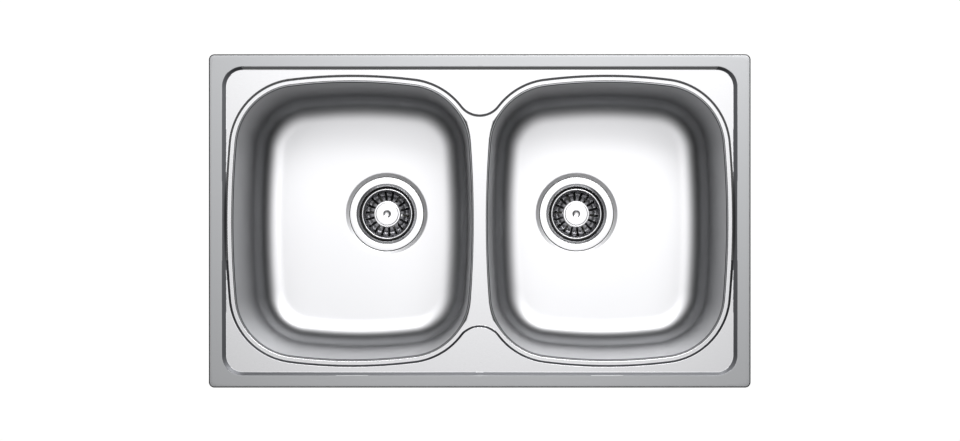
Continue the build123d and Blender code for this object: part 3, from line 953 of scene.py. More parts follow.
# ---------------------------------------------------------------- the bowls
@dataclass
class DrawnBowl:
    """One deep-drawn bowl: land, lip, drafted wall, floor bend, floor and the dish round the drain."""

    side: Side
    materials: dict[str, bpy.types.Material]
    # the steps' skin paints shade on the lip
    skins: tuple[str, ...] = ("drawn", "press_line", "back")
    lip_steps: int = 8
    wall_steps: int = 8
    bend_steps: int = 22
    floor_steps: int = 18
    dish_steps: int = 6
    lip_drop: float = 0.06

    def wall_section(self) -> Array:
        """Inset and height of the rings from the land to the foot of the floor's bend.

        Returns:
            Array of shape (rings, 2).
        """
        lean = 90 - BOWL.wall_draft
        lip = arc((0, TOP.well - BOWL.lip), BOWL.lip, 90, 90 - lean, self.lip_steps)
        drop = np.radians(BOWL.wall_draft)
        foot_z = BOWL.floor + BOWL.floor_bend * (1 - np.sin(drop))
        foot_x = lip[-1, 0] + (lip[-1, 1] - foot_z) * np.tan(drop)
        centre = (foot_x + BOWL.floor_bend * np.cos(drop), BOWL.floor + BOWL.floor_bend)
        bend = arc(centre, BOWL.floor_bend, 180 + BOWL.wall_draft, 270, self.bend_steps)
        share = np.linspace(0, 1, self.wall_steps + 1)[1:-1, None]
        wall = lip[-1] + share * (bend[0] - lip[-1])
        return np.vstack([[-BOWL.land, TOP.well], lip, wall, bend])

    def rings(self) -> Array:
        """Rings of the whole bowl, from its land to the edge of the drain hole, for the right-hand side.

        The floor's points lie on straight lines from the foot of the wall to the dish, closest at both ends.

        Returns:
            Array of shape (rings, turns, 3).
        """
        turns = MOUTH.turns()
        section = self.wall_section()
        wall = MOUTH.point(turns[None, :], -section[:, :1])
        wall = np.dstack([wall + [BOWL.x, 0], np.broadcast_to(section[:, 1:], wall.shape[:2])])
        edge = wall[-1]
        drain = np.array([BOWL.drain_x, BOWL.drain_y])
        bearing = np.arctan2(edge[:, 1] - drain[1], edge[:, 0] - drain[0])
        round_drain = np.stack([np.cos(bearing), np.sin(bearing)], -1)
        dish = rounded(
            [
                (BOWL.dish_radius + BOWL.dish_margin, BOWL.floor, 0),
                (BOWL.dish_radius, BOWL.floor, BOWL.dish_bend),
                (BOWL.dish_flat, BOWL.dish, BOWL.dish_bend),
                (BOWL.hole, BOWL.dish, 0),
            ],
            self.dish_steps,
        )
        share = np.linspace(0, 1, self.floor_steps + 1)[1:-1]
        share = 0.5 * share + 0.25 * (1 - np.cos(np.pi * share))
        inner = drain + dish[0, 0] * round_drain
        floor = edge[None, :, :2] * (1 - share[:, None, None]) + inner[None] * share[:, None, None]
        floor = np.dstack([floor, np.full(floor.shape[:2], BOWL.floor)])
        hollow = drain + dish[:, :1, None] * round_drain[None]
        hollow = np.dstack([hollow, np.broadcast_to(dish[:, 1:], hollow.shape[:2])])
        return np.concatenate([wall, floor, hollow])

    def build(self) -> bpy.types.Object:
        """Make the bowl.

        Returns:
            The object, riding on the sink.
        """
        rings = self.rings()
        faces = grid_faces(rings.shape[0], rings.shape[1], wrap_columns=True)
        points = rings.reshape(-1, 3)
        if self.side is Side.LEFT:
            points, faces = points * [-1, 1, 1], faces[:, ::-1]
        label = self.side.label
        thing = make_mesh(f"{label}_drawn_bowl", points, faces)
        height = face_centres(thing)[:, 2]
        # painted shade: the lip's faces take the steps' dark grey, a thin dark line round the mouth
        on_lip = (height < TOP.well - self.lip_drop) & (height > TOP.well - BOWL.lip)
        thing.data.polygons.foreach_set("material_index", on_lip.astype(np.int32))
        solidify(thing, BOWL.sheet, len(self.skins) - 1)
        return dress(thing, [self.materials[key] for key in self.skins], "drawn_steel", "sink", f"{label}_bowl")


# ---------------------------------------------------------------- strainer wastes and baskets
@dataclass
class Drain:
    """One basket strainer waste: pressed strainer, seals, moulded body, and the basket set that lifts out."""

    side: Side
    materials: dict[str, bpy.types.Material]
    sizes: DrainSizes = DRAIN

    def piece(self, thing: bpy.types.Object, finish: str, slot: str, body: str, *nodes: str) -> bpy.types.Object:
        """Dress a piece of this waste in one finish, for its body and its solids as `dress` says."""
        return dress(thing, [self.materials[finish]], slot, body, *nodes)

    def turned(self, name: str, corners: list[tuple[float, float, float]], columns: int = 96) -> bpy.types.Object:
        """A round piece on the drain's axis from the rounded corners of its section.

        Args:
            name: Name of the piece without its side.
            corners: Corners as (radius, height, rounding), anticlockwise with the axis on the left.
            columns: Steps round the axis.

        Returns:
            The object.
        """
        closed = corners[0][0] > 0
        section = rounded(corners, 5, closed)
        return revolve(f"{self.side.label}_{name}", section, self.side.drain, columns, closed)

    def strainer(self) -> bpy.types.Object:
        """The polished strainer: flange, throat, tapered seat, cup and slotted floor.

        Returns:
            The object.
        """
        d = self.sizes
        path = rounded(
            [
                (d.flange, d.flange_top - 0.5, 0),
                (d.flange, d.flange_top, 0.4),
                (d.throat + d.throat_bend + 0.4, d.flange_top, 1.0),
                (d.throat, d.flange_top - d.throat_bend, 1.2),
                (d.throat, d.seat_top, 2.0),
                (d.cup, d.seat_foot, 2.0),
                (d.cup, d.cup_floor, d.cup_bend),
                (3.4, d.cup_floor, 0),
            ],
            8,
        )
        wheel = SlotWheel(count=6, start=14.0, end=32.0, width=8.0, turn=0.0, across=8, between=14)
        thing = wheel.press(f"{self.side.label}_strainer", path, self.side.drain, d.steel)
        return self.piece(thing, "strainer", "strainer_steel", "sink", f"{self.side.label}_strainer_body")

    def basket(self) -> bpy.types.Object:
        """The basket: curled rim, tapered wall and a wheel of slots that run from the floor up the wall.

        Returns:
            The object.
        """
        d = self.sizes
        path = rounded(
            [
                (d.basket_rim_radius, d.basket_rim - 1.2, 0),
                (d.basket_rim_radius, d.basket_rim, 0.75),
                (d.basket_mouth, d.basket_rim, 0.75),
                (d.basket_floor_radius, d.basket_floor, 11.0),
                (2.6, d.basket_floor, 0),
            ],
            8,
        )
        wheel = SlotWheel(d.basket_slots, d.slot_start, d.slot_end, d.slot_width, 90 - d.slot_turn)
        thing = wheel.press(f"{self.side.label}_slotted_basket", path, self.side.drain, d.basket_gauge)
        label = self.side.label
        return self.piece(thing, "basket", "strainer_steel", f"{label}_basket_set", f"{label}_basket")

    def knob(self) -> bpy.types.Object:
        """The knob: neck, overhanging plate, raised crown and a dimple that is part of a sphere.

        Returns:
            The object.
        """
        d = self.sizes
        plate_top = d.knob_top - d.knob_crown_height
        plate_foot = plate_top - d.knob_plate
        outside = rounded(
            [
                (0, d.basket_floor + d.stem_reach, 0),
                (d.knob_bore, d.basket_floor + d.stem_reach, 0),
                (d.knob_bore, d.basket_floor, 0),
                (d.knob_neck, d.basket_floor, 0.4),
                (d.knob_neck, plate_foot, 1.6),
                (d.knob, plate_foot, 0.9),
                (d.knob, plate_top, 0.6),
                (d.knob_crown + 0.6, plate_top, 0.3),
                (d.knob_crown, d.knob_top, 0.7),
                (d.dimple + 0.6, d.knob_top, 0),
            ],
            6,
        )
        ball = (d.dimple**2 + d.dimple_depth**2) / (2 * d.dimple_depth)
        spread = np.degrees(np.arcsin(d.dimple / ball))
        dimple = arc((0, d.knob_top - d.dimple_depth + ball), ball, -90 + spread, -90, 10)
        dimple[-1, 0] = 0
        label = self.side.label
        thing = revolve(f"{label}_turned_knob", np.vstack([outside, dimple]), self.side.drain, 96, False)
        return self.piece(thing, "knob", "knob_chrome", f"{label}_basket_set", f"{label}_knob")

    def seals(self) -> list[bpy.types.Object]:
        """The rubber rings: under the flange, on the body, round the basket and on the stem's foot.

        Returns:
            The objects.
        """
        d, label = self.sizes, self.side.label
        slope = (d.basket_mouth - d.basket_floor_radius) / (d.basket_rim - d.basket_floor)
        foot = d.seal_top - d.seal_height
        top_inner = d.basket_mouth + (d.seal_top - d.basket_rim) * slope + d.seal_hug
        foot_inner = d.basket_mouth + (foot - d.basket_rim) * slope + d.seal_hug
        rings = {
            "flange_gasket": (
                [
                    (d.gasket_inner, BOWL.dish, 0),
                    (d.gasket_outer, BOWL.dish, 0.3),
                    (d.gasket_outer, BOWL.dish + d.gasket_gauge, 0.3),
                    (d.gasket_inner, BOWL.dish + d.gasket_gauge, 0),
                ],
                "sink",
                "flange_seal",
            ),
            "body_gasket": (
                [
                    (d.body_inner, d.body_top, 0.8),
                    (d.body_flange, d.body_top, 0.8),
                    (d.body_flange, d.body_top + d.body_seal_gauge, 0.8),
                    (d.body_inner, d.body_top + d.body_seal_gauge, 0.8),
                ],
                "sink",
                "body_seal",
            ),
            "basket_ring": (
                [
                    (foot_inner, foot, 0.4),
                    (d.seal_foot_radius, foot, 0.8),
                    (d.seal_top_radius, d.seal_top, 0.7),
                    (top_inner, d.seal_top, 0.3),
                ],
                f"{label}_basket_set",
                "basket_seal",
            ),
        }
        return [
            self.piece(self.turned(name, corners), "rubber", "seal_rubber", body, f"{label}_{seal}")
            for name, (corners, body, seal) in rings.items()
        ]

    def body(self) -> bpy.types.Object:
        """The moulded waste body with its shoulder and the threaded outlet tail, in one shell.

        Returns:
            The object.
        """
        d, label = self.sizes, self.side.label
        section = rounded(
            [
                (d.outlet_bore, d.outlet_foot, 0.5),
                (d.outlet, d.outlet_foot, 0.8),
                (d.outlet, d.outlet_top, 1.5),
                (d.body_inner + d.body_wall, d.shoulder, 4.0),
                (d.body_inner + d.body_wall, d.body_top - d.body_flange_height, 1.2),
                (d.body_flange, d.body_top - d.body_flange_height, 0.9),
                (d.body_flange, d.body_top, 0.9),
                (d.body_inner, d.body_top, 0.5),
                (d.body_inner, d.shoulder, 3.0),
                (d.outlet_bore, d.outlet_top, 2.0),
            ],
            5,
            True,
        )
        thread = Thread(
            pitch=2.309,
            depth=1.15,
            foot=d.outlet_foot + 0.6,
            top=d.outlet_top - 7.0,
            least_radius=d.outlet_bore + 2.5,
        )
        section = lengthen(section, thread.foot, thread.top, 0.26)
        thing = revolve(f"{label}_moulded_body", section, self.side.drain, 112, True, thread)
        nodes = (f"{label}_waste_body", f"{label}_outlet_tail")
        return self.piece(thing, "plastic", "waste_plastic", "sink", *nodes)

    def hub(self) -> bpy.types.Object:
        """The body's spider: a hub for the clamp screw's nut and four ribs to the shoulder.

        Each rib's outline in (radius, height) is carried across its gauge.

        Returns:
            The object.
        """
        d, label = self.sizes, self.side.label
        tube = rounded(
            [
                (d.hub_bore, d.outlet_top + d.nut_height, 0),
                (d.nut_pocket, d.outlet_top + d.nut_height, 0),
                (d.nut_pocket, d.outlet_top, 0),
                (d.hub, d.outlet_top, 0.6),
                (d.hub, d.outlet_top + d.hub_height, 0.8),
                (d.hub_bore, d.outlet_top + d.hub_height, 0.3),
            ],
            4,
            True,
        )
        outline = rounded(
            [
                (d.rib_inner, d.outlet_top, 0),
                (d.outlet_bore + 1.0, d.outlet_top, 0),
                (d.body_inner + 1.0, d.shoulder, 0),
                (d.rib_inner, d.shoulder, 1.0),
            ],
            4,
            True,
        )
        turn = np.radians(45 + 90 * np.arange(4))[:, None, None]
        across = (np.array([-0.5, 0.5]) * d.rib_gauge)[None, :, None]
        reach, height = outline[None, None, :, 0], outline[None, None, :, 1]
        x = self.side.drain[0] + reach * np.cos(turn) - across * np.sin(turn)
        y = self.side.drain[1] + reach * np.sin(turn) + across * np.cos(turn)
        ribs = np.stack(np.broadcast_arrays(x, y, height + 0 * across), -1).reshape(-1, 3)
        count = len(outline)
        wall = grid_faces(2, count, False, True)
        index = np.arange(count // 2)
        cap = np.stack([index[:-1], index[1:], count - 1 - index[1:], count - 1 - index[:-1]], -1)
        one = np.vstack([wall[:, ::-1], cap, cap[:, ::-1] + count])
        faces = np.vstack([one + 2 * count * n for n in range(4)])
        columns = 48
        bearing = np.linspace(0, 2 * np.pi, columns, endpoint=False)
        ring = np.stack(
            [
                self.side.drain[0] + tube[:, :1] * np.cos(bearing),
                self.side.drain[1] + tube[:, :1] * np.sin(bearing),
                np.repeat(tube[:, 1:], columns, axis=1),
            ],
            -1,
        ).reshape(-1, 3)
        faces = np.vstack([faces, grid_faces(len(tube), columns, True, True) + len(ribs)])
        thing = make_mesh(f"{label}_body_spider", np.vstack([ribs, ring]), faces, smooth=False)
        return self.piece(thing, "plastic", "waste_plastic", "sink", f"{label}_waste_body")

    def clamp(self) -> bpy.types.Object:
        """The clamp screw, whose long head is bored as the socket for the basket's stem.

        Returns:
            The object.
        """
        d, label = self.sizes, self.side.label
        foot, top = d.cup_floor - d.clamp_length, d.cup_floor + d.clamp_head_height
        thread = Thread(pitch=1.0, depth=0.55, foot=foot, top=d.cup_floor - 3.0, least_radius=2.0)
        section = rounded(
            [
                (0, foot, 0),
                (d.clamp, foot, 0.6),
                (d.clamp, d.cup_floor, 0),
                (d.clamp_head, d.cup_floor, 0.3),
                (d.clamp_head, top, 0.9),
                (d.socket, top, 0.5),
                (d.socket, d.cup_floor + d.socket_floor, 0.4),
                (0, d.cup_floor + d.socket_floor, 0),
            ],
            5,
        )
        section = lengthen(section, thread.foot, thread.top, 0.125)
        thing = revolve(f"{label}_clamp_screw", section, self.side.drain, 40, False, thread)
        return self.piece(thing, "strainer", "strainer_steel", "sink", "clamp_screws")

    def stem(self) -> list[bpy.types.Object]:
        """The basket's stem with its thick foot, and the rubber ring on it.

        Returns:
            The objects.
        """
        d, label = self.sizes, self.side.label
        foot = d.cup_floor + d.plug_foot
        rod = self.turned(
            "basket_stem",
            [
                (0, foot, 0),
                (d.plug, foot, 0.6),
                (d.plug, foot + d.plug_height, 0.3),
                (d.stem, foot + d.plug_height, 0),
                (d.stem, d.basket_floor + d.stem_reach, 0),
                (0, d.basket_floor + d.stem_reach, 0),
            ],
            40,
        )
        ring = self.turned(
            "stem_o_ring",
            [
                (d.ring_bore, foot + d.ring_foot, 0.3),
                (d.ring, foot + d.ring_foot, 0.55),
                (d.ring, foot + d.ring_top, 0.55),
                (d.ring_bore, foot + d.ring_top, 0.3),
            ],
            40,
        )
        return [
            self.piece(rod, "strainer", "strainer_steel", f"{label}_basket_set", f"{label}_stem"),
            self.piece(ring, "rubber", "seal_rubber", f"{label}_lift", f"{label}_stem_ring"),
        ]

    def build(self) -> list[bpy.types.Object]:
        """Make every piece of this side's waste.

        Returns:
            The objects.
        """
        return [
            self.strainer(),
            self.basket(),
            self.knob(),
            *self.seals(),
            self.body(),
            self.hub(),
            self.clamp(),
            *self.stem(),
        ]


# ---------------------------------------------------------------- fixing clips
@dataclass
class ClipScrew:
    """A clip's screw: rolled thread and a round head with a driver's slot."""

    place: str
    at: tuple[float, float]
    material: bpy.types.Material
    head_top: float = -49.8
    length: float = 33.5
    radius: float = 2.5
    pitch: float = 0.8
    thread_depth: float = 0.36
    head_radius: float = 4.6
    head_height: float = 3.4
    slot_half: float = 0.6
    slot_depth: float = 1.3

    def build(self) -> bpy.types.Object:
        """Make the screw, with the slot pressed into its head's lower face as a straight groove.

        The groove's walls lie between columns whose distance from the groove's line is the same at every
        radius.

        Returns:
            The object, riding on the screw's body.
        """
        foot = self.head_top - self.head_height
        top = self.head_top + self.length
        section = rounded(
            [
                (0, foot, 0),
                (self.head_radius, foot, 0.5),
                (self.head_radius, self.head_top, 0.5),
                (self.radius, self.head_top, 0),
                (self.radius, top, 0.6),
                (0, top, 0),
            ],
            4,
        )
        thread = Thread(self.pitch, self.thread_depth, self.head_top + 0.4, top - 0.1, least_radius=1.5)
        section = lengthen(section, thread.foot, thread.top, self.pitch / 7)
        share = np.linspace(0, 1, 7)[1:-1, None]
        section = np.vstack([section[:1], section[:1] + share * (section[1] - section[:1]), section[1:]])
        ratio = self.slot_half / self.head_radius
        edges = np.arcsin([0.5 * ratio, ratio, 1.06 * ratio])
        quarter = np.concatenate([[0], edges, np.linspace(edges[-1], np.pi / 2, 7)[1:]])
        half = np.concatenate([quarter, np.pi - quarter[-2::-1]])
        turn = np.concatenate([half, half[1:-1] + np.pi])
        radius = np.repeat(section[:, :1], len(turn), axis=1)
        height = np.repeat(section[:, 1:], len(turn), axis=1)
        on_face = height < foot + 0.02
        straight = np.arcsin(np.clip(np.sin(turn) * self.head_radius / np.maximum(radius, 1e-6), -1, 1))
        bearing = np.where(np.cos(turn) < -1e-9, np.pi - straight, straight)
        bearing = np.where(on_face & (np.abs(np.sin(turn)) < 1.1 * ratio), bearing, turn)
        radius = radius - thread.depth_at(radius, height, turn[None, :])
        groove = (np.abs(radius * np.sin(bearing)) < 1.03 * self.slot_half) & (height < foot + 0.6)
        height = height + np.where(groove, self.slot_depth, 0)
        x, y = self.at[0] + radius * np.cos(bearing), self.at[1] + radius * np.sin(bearing)
        points = np.stack([x, y, height], -1).reshape(-1, 3)
        points, faces = weld(points, grid_faces(len(section), len(turn), False, True), 5)
        thing = make_mesh(f"{self.place}_clip_bolt", points, faces)
        body, solid = f"{self.place}_clip_screw", f"{self.place}_screw"
        return dress(thing, [self.material], "galvanised_steel", body, solid)


def clip_places() -> dict[str, tuple[float, float]]:
    """Axes of the clips' screws, from the boxes of their solids.

    Returns:
        Places in millimetres by the clip's name.
    """
    names = [name[: -len("_screw")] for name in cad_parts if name.endswith("_screw")]
    boxes = {name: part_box(f"{name}_screw") for name in names}
    middles = {name: (np.array(low) + np.array(high)) / 2 / MM for name, (low, high) in boxes.items()}
    return {name: (float(middle[0]), float(middle[1])) for name, middle in middles.items()}


# ---------------------------------------------------------------- materials
def srgb(text: str) -> tuple[float, float, float, float]:
    """Linear colour of a web colour.

    Args:
        text: Six hex digits.

    Returns:
        Red, green, blue and 1.
    """
    values = [int(text[n : n + 2], 16) / 255 for n in (0, 2, 4)]
    linear = [v / 12.92 if v <= 0.04045 else ((v + 0.055) / 1.055) ** 2.4 for v in values]
    return (*linear, 1.0)


@dataclass(frozen=True)
class Foot:
    """Painted light and shade of a finish: a second colour and roughness, which take over between two heights in
    millimetres.
    """

    colour: str
    roughness: float
    top: float
    foot: float


@dataclass(frozen=True)
class Finish:
    """How a material looks: its colour, gloss, a grain that varies its gloss and lifts it a little, and light and
    shade painted in by height.

    The grain's size and bump are in millimetres, and a stretch under 1 draws the grain out along that axis.
    """

    name: str
    colour: str
    metallic: float = 0.0
    roughness: float = 0.5
    grain: float = 0.0
    grain_size: float = 1.0
    stretch: tuple[float, float, float] = (1.0, 1.0, 1.0)
    bump: float = 0.0
    foot: Foot | None = None


def node(
    tree: bpy.types.NodeTree, kind: str, inputs: dict[str | int, object] | None = None, **settings: object
) -> bpy.types.Node:
    """Add a shader node with its settings, and set or link its inputs.

    Args:
        tree: Node tree.
        kind: Type of the node after "ShaderNode".
        inputs: Values or output sockets by an input's name or number.
        **settings: The node's own properties.

    Returns:
        The node.
    """
    made = tree.nodes.new(f"ShaderNode{kind}")
    for name, value in settings.items():
        setattr(made, name, value)
    for name, value in (inputs or {}).items():
        if isinstance(value, bpy.types.NodeSocket):
            tree.links.new(value, made.inputs[name])
        else:
            made.inputs[name].default_value = value
    return made


def empty_material(name: str) -> tuple[bpy.types.Material, bpy.types.NodeTree]:
    """Make a material without nodes.

    Args:
        name: Its name.

    Returns:
        The material and its tree.
    """
    material = bpy.data.materials.new(name)
    material.use_nodes = True
    material.node_tree.nodes.clear()
    return material, material.node_tree


def make_material(finish: Finish) -> bpy.types.Material:
    """Make a procedural material from a finish.

    Roughness = the finish's own, or a ramp to its foot's over height, plus grain * (noise - 0.5) * 5.

    Args:
        finish: What the surface is like.

    Returns:
        The material.
    """
    material, tree = empty_material(finish.name)
    colour = srgb(finish.colour)
    place = node(tree, "TexCoord").outputs["Object"]
    scaled = node(tree, "Mapping", {"Vector": place, "Scale": finish.stretch}).outputs["Vector"]
    fineness = 1 / (finish.grain_size * MM)
    noise = node(tree, "TexNoise", {"Vector": scaled, "Scale": fineness, "Detail": 3.0, "Roughness": 0.5})
    grain = noise.outputs["Fac"]
    limits = {"To Min": finish.roughness - finish.grain, "To Max": finish.roughness + finish.grain}
    rough = node(tree, "MapRange", {"Value": grain, "From Min": 0.3, "From Max": 0.7, **limits}).outputs["Result"]
    surface = node(
        tree,
        "BsdfPrincipled",
        {"Base Color": colour, "Metallic": finish.metallic, "Roughness": finish.roughness},
    )
    # painted light and shade: the colour ramps to the second one over height
    if finish.foot:
        height = node(tree, "SeparateXYZ", {"Vector": place}).outputs["Z"]
        heights = {"Value": height, "From Min": finish.foot.top * MM, "From Max": finish.foot.foot * MM}
        ramp = node(tree, "MapRange", heights, interpolation_type="SMOOTHSTEP").outputs["Result"]
        blend = node(tree, "Mix", {0: ramp, 6: colour, 7: srgb(finish.foot.colour)}, data_type="RGBA")
        tree.links.new(blend.outputs[2], surface.inputs["Base Color"])
        change = finish.foot.roughness - finish.roughness
        rough = node(tree, "Math", {0: ramp, 1: change, 2: rough}, operation="MULTIPLY_ADD").outputs["Value"]
    tree.links.new(rough, surface.inputs["Roughness"])
    if finish.bump:
        bump = node(tree, "Bump", {"Height": grain, "Strength": 1.0, "Distance": finish.bump * MM})
        tree.links.new(bump.outputs["Normal"], surface.inputs["Normal"])
    node(tree, "OutputMaterial", {"Surface": surface.outputs["BSDF"]})
    return material


# Brushed grain is about 0.1 mm wide on real sheet. Here it is 1.2 mm wide and 20 mm long, which still shows.
BRUSHED_ALONG_X = (0.06, 1.0, 1.0)
BRUSHED_ALONG_Y = (1.0, 0.06, 1.0)

FINISHES = {
    # 18/10 stainless sheet, pressed and satin brushed along its length: bright, with soft wide reflections
    "panel": Finish(
        "satin_brushed_stainless_sheet", "D6D6D8", metallic=1.0, roughness=0.27,
        grain=0.004, grain_size=1.2, stretch=BRUSHED_ALONG_X,
    ),
    # the same sheet where the flat rim is brushed again after pressing: duller and a shade darker
    "rim": Finish(
        "linen_brushed_stainless_rim", "AFB0B2", metallic=1.0, roughness=0.40,
        grain=0.012, grain_size=1.2, stretch=BRUSHED_ALONG_X,
    ),
    # the same sheet turned down round the outer edge, dull, with painted shade that makes it a dark outline round
    # the rim
    "edge": Finish(
        "turned_down_stainless_edge", "242527", metallic=1.0, roughness=0.48,
        grain=0.02, grain_size=1.2, stretch=(0.06, 0.06, 1.0),
    ),
    # the same sheet with painted shade along the pressed steps and round the bowls' lips: narrow dull grey bands
    "press_line": Finish(
        "burnished_stainless_press_line", "67686B", metallic=1.0, roughness=0.38,
        grain=0.01, grain_size=1.2, stretch=BRUSHED_ALONG_Y,
    ),
    # the same steel deep drawn: painted shade greys its walls, painted light makes its floor and the foot of the
    # bend nearly white
    "drawn": Finish(
        "deep_drawn_stainless_bowl", "98999B", metallic=1.0, roughness=0.36,
        grain=0.006, grain_size=2.0, foot=Foot("F8F8FA", roughness=0.48, top=-144.5, foot=-155.7),
    ),
    # the back of the sheets, which nobody polishes: the mill's own dull skin
    "back": Finish(
        "mill_finish_stainless_back", "A3A4A7", metallic=1.0, roughness=0.5, grain=0.03, grain_size=4.0
    ),
    # pressed stainless, polished to a soft mirror above; down in the cup, and on the screw and stem there, painted
    # shade makes it dark, and it is duller there
    "strainer": Finish(
        "polished_stainless_strainer", "EAEAEC", metallic=1.0, roughness=0.24,
        grain=0.006, grain_size=1.5, foot=Foot("38383A", roughness=0.5, top=-168.0, foot=-180.0),
    ),
    # the same for the basket, with painted shade that greys its floor between the slots
    "basket": Finish(
        "polished_stainless_basket", "F0F0F2", metallic=1.0, roughness=0.27,
        grain=0.01, grain_size=1.5, foot=Foot("77777A", roughness=0.3, top=-177.5, foot=-180.4),
    ),
    # rolled steel with a zinc coat: dull grey with faint spangle
    "zinc": Finish("galvanised_rolled_steel", "A6A9AD", metallic=1.0, roughness=0.46, grain=0.07, grain_size=5.0),
    # cast zinc knob, nickel and chrome plated: nearly a mirror
    "knob": Finish("chrome_plated_zinc_knob", "EDEDEF", metallic=1.0, roughness=0.16, grain=0.006, grain_size=2.0),
    # closed-cell foam strip: black and quite matt, pitted by its cells
    "foam": Finish("closed_cell_foam_strip", "1A1A1B", roughness=0.92, grain=0.04, grain_size=0.7, bump=0.12),
    # moulded black rubber: soft sheen
    "rubber": Finish("moulded_black_rubber", "0D0D0E", roughness=0.55, grain=0.04, grain_size=0.8, bump=0.02),
    # bitumen sheet rolled on: dark grey, orange-peel skin
    "bitumen": Finish("bitumen_damping_sheet", "343436", roughness=0.82, grain=0.06, grain_size=1.6, bump=0.25),
    # injection moulded polypropylene: off-white with a satin skin
    "plastic": Finish("moulded_polypropylene", "E4E3DF", roughness=0.42, grain=0.03, grain_size=1.8, bump=0.01),
    # hexagon bar of brass, turned: warm yellow, with fine marks of the tool round it
    "brass": Finish(
        "turned_brass", "B5975A", metallic=1.0, roughness=0.3,
        grain=0.03, grain_size=0.8, stretch=(1.0, 1.0, 4.0),
    ),
}

# finish of a solid by the end of its node's name, where the longest ending counts
NODE_FINISH = {
    "rail": "zinc",
    "brackets": "zinc",
    "washer": "zinc",
    "screw": "zinc",
    "screws": "strainer",
    "claw": "zinc",
    "seal": "rubber",
    "rim_seal": "foam",
    "ring": "rubber",
    "pad": "bitumen",
    "body": "plastic",
    "tail": "plastic",
    "strainer_body": "strainer",
    "basket": "basket",
    "knob": "knob",
    "stem": "strainer",
    "nut": "brass",
    "nuts": "brass",
    "bowl": "drawn",
    "top": "panel",
}


def finish_of(name: str) -> str:
    """Finish of a solid that is shown as it is.

    Args:
        name: Name of its node.

    Returns:
        Key of its finish.
    """
    endings = sorted((key for key in NODE_FINISH if name.endswith(key)), key=len)
    return NODE_FINISH[endings[-1]]


# ---------------------------------------------------------------- room, light and camera
def luminous(name: str, strength: float) -> tuple[bpy.types.Material, bpy.types.NodeTree, bpy.types.Node]:
    """Make a white luminous material.

    Args:
        name: Its name.
        strength: Strength of its light.

    Returns:
        The material, its tree and its emission node.
    """
    material, tree = empty_material(name)
    glow = node(tree, "Emission", {"Color": srgb("FFFFFF"), "Strength": strength})
    node(tree, "OutputMaterial", {"Surface": glow.outputs["Emission"]})
    return material, tree, glow


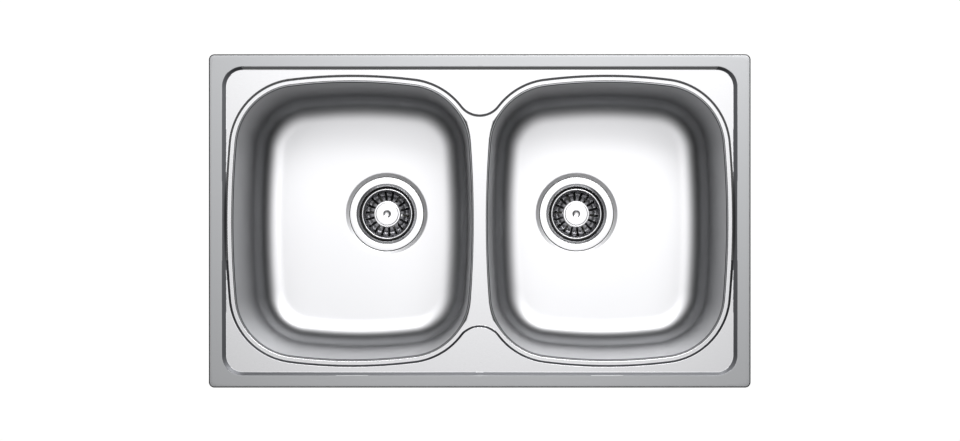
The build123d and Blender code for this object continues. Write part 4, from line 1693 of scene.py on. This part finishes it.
@dataclass
class Room:
    """Plain white ground, a luminous ceiling, a large softbox behind on the right, and the camera straight above.

    All in metres, but for the camera's view, which is in pixels of the photograph and millimetres to a pixel.
    """

    ground_z: float = -0.2522
    ground_half: float = 6.0
    ground_light: float = 1.02
    ceiling_z: float = 3.0
    ceiling_half: float = 2.3
    ceiling_front_light: float = 0.48
    ceiling_back_light: float = 2.46
    ceiling_run: float = 1.7
    ceiling_fall: float = 0.36
    softbox: float = 38.0
    softbox_size: tuple[float, float] = (2.2, 1.0)
    softbox_place: tuple[float, float, float] = (0.45, 1.75, 2.2)
    softbox_aim: tuple[float, float, float] = (0.0, 0.0, -0.1)
    world_light: float = 0.10
    height: float = 2.2
    shift_x: float = 0.040
    picture: tuple[int, int] = (960, 441)
    middle: tuple[float, float] = (479.7, 220.95)
    scale: float = 1.4385
    sensor: float = 36.0

    def plane(self, name: str, half: float, z: float, up: bool) -> bpy.types.Object:
        """A flat square.

        Args:
            name: Its name.
            half: Half its side in metres.
            z: Its height in metres.
            up: Whether it faces up.

        Returns:
            The object.
        """
        corners = np.array([(-1, -1), (1, -1), (1, 1), (-1, 1)], float) * half
        points = np.column_stack([corners, np.full(4, z)]) / MM
        faces = np.array([[0, 1, 2, 3]]) if up else np.array([[3, 2, 1, 0]])
        return make_mesh(name, points, faces, smooth=False)

    def ceiling_material(self) -> bpy.types.Material:
        """Light of the ceiling: a ramp from front to back, divided by 1 + fall * x * x.

        Returns:
            The material.
        """
        material, tree, glow = luminous("luminous_ceiling", 1.0)
        split = node(tree, "SeparateXYZ", {"Vector": node(tree, "TexCoord").outputs["Object"]})
        run = {"From Min": -self.ceiling_run, "From Max": self.ceiling_run}
        light = {"To Min": self.ceiling_front_light, "To Max": self.ceiling_back_light}
        along = node(tree, "MapRange", {"Value": split.outputs["Y"], **run, **light}).outputs["Result"]
        square = node(tree, "Math", {0: split.outputs["X"], 1: 2.0}, operation="POWER").outputs["Value"]
        spread = node(tree, "Math", {0: square, 1: self.ceiling_fall, 2: 1.0}, operation="MULTIPLY_ADD")
        share = node(tree, "Math", {0: along, 1: spread.outputs["Value"]}, operation="DIVIDE")
        tree.links.new(share.outputs["Value"], glow.inputs["Strength"])
        return material

    def ground_material(self) -> bpy.types.Material:
        """White paper lit from all sides, clear from behind, so that the underside can be looked at through it.

        Returns:
            The material.
        """
        material, tree, glow = luminous("white_paper_ground", self.ground_light)
        behind = node(tree, "NewGeometry").outputs["Backfacing"]
        clear = node(tree, "BsdfTransparent").outputs["BSDF"]
        choice = node(tree, "MixShader", {0: behind, 1: glow.outputs["Emission"], 2: clear})
        out = next(n for n in tree.nodes if n.type == "OUTPUT_MATERIAL")
        tree.links.new(choice.outputs["Shader"], out.inputs["Surface"])
        return material

    def lights(self) -> None:
        """Make the ground, the ceiling, the softbox and the world's dim light."""
        scene = bpy.context.scene
        ground = self.plane("ground", self.ground_half, self.ground_z, True)
        ground.data.materials.append(self.ground_material())
        ceiling = self.plane("ceiling", self.ceiling_half, self.ceiling_z, False)
        ceiling.data.materials.append(self.ceiling_material())
        ceiling.visible_camera = False
        lamp = bpy.data.lights.new("softbox", "AREA")
        lamp.shape = "RECTANGLE"
        lamp.size, lamp.size_y = self.softbox_size
        lamp.energy = self.softbox
        box = bpy.data.objects.new("softbox", lamp)
        scene.collection.objects.link(box)
        box.location = Vector(self.softbox_place)
        box.rotation_euler = (Vector(self.softbox_aim) - box.location).to_track_quat("-Z", "Y").to_euler()
        scene.world = bpy.data.worlds.new("dim_studio")
        scene.world.use_nodes = True
        back = scene.world.node_tree.nodes["Background"]
        back.inputs["Color"].default_value = srgb("FFFFFF")
        back.inputs["Strength"].default_value = self.world_light

    def camera(self) -> None:
        """Make the camera, whose view has the photograph's scale at the height of the rim."""
        scene = bpy.context.scene
        lens = bpy.data.cameras.new("camera")
        camera = bpy.data.objects.new("camera", lens)
        scene.collection.objects.link(camera)
        camera.location = Vector((self.shift_x, 0.0, self.height))
        width = self.picture[0] * self.scale * MM
        lens.sensor_width = self.sensor
        lens.lens = self.sensor * (self.height - TOP.rim * MM) / width
        lens.shift_x = (self.picture[0] / 2 - self.middle[0]) / self.picture[0] - self.shift_x / width
        lens.shift_y = (self.middle[1] - self.picture[1] / 2) / self.picture[0]
        scene.camera = camera

    def build(self) -> None:
        """Make the lights and the camera, and show colours as they are."""
        self.lights()
        self.camera()
        bpy.context.scene.view_settings.view_transform = "Standard"


def main() -> None:
    logging.basicConfig(level=logging.INFO, format="%(message)s")
    materials = {key: make_material(finish) for key, finish in FINISHES.items()}
    for name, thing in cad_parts.items():
        thing.data.materials.clear()
        thing.data.materials.append(materials[finish_of(name)])
    built = [PressedTop(materials).build()]
    for side in Side:
        built.append(DrawnBowl(side, materials).build())
        built.extend(Drain(side, materials).build())
    for place, at in clip_places().items():
        built.append(ClipScrew(place, at, materials["zinc"]).build())
    Room().build()
    for thing in built:
        log.info("%s: %d points", thing.name, len(thing.data.vertices))


if __name__ == "__main__":
    main()
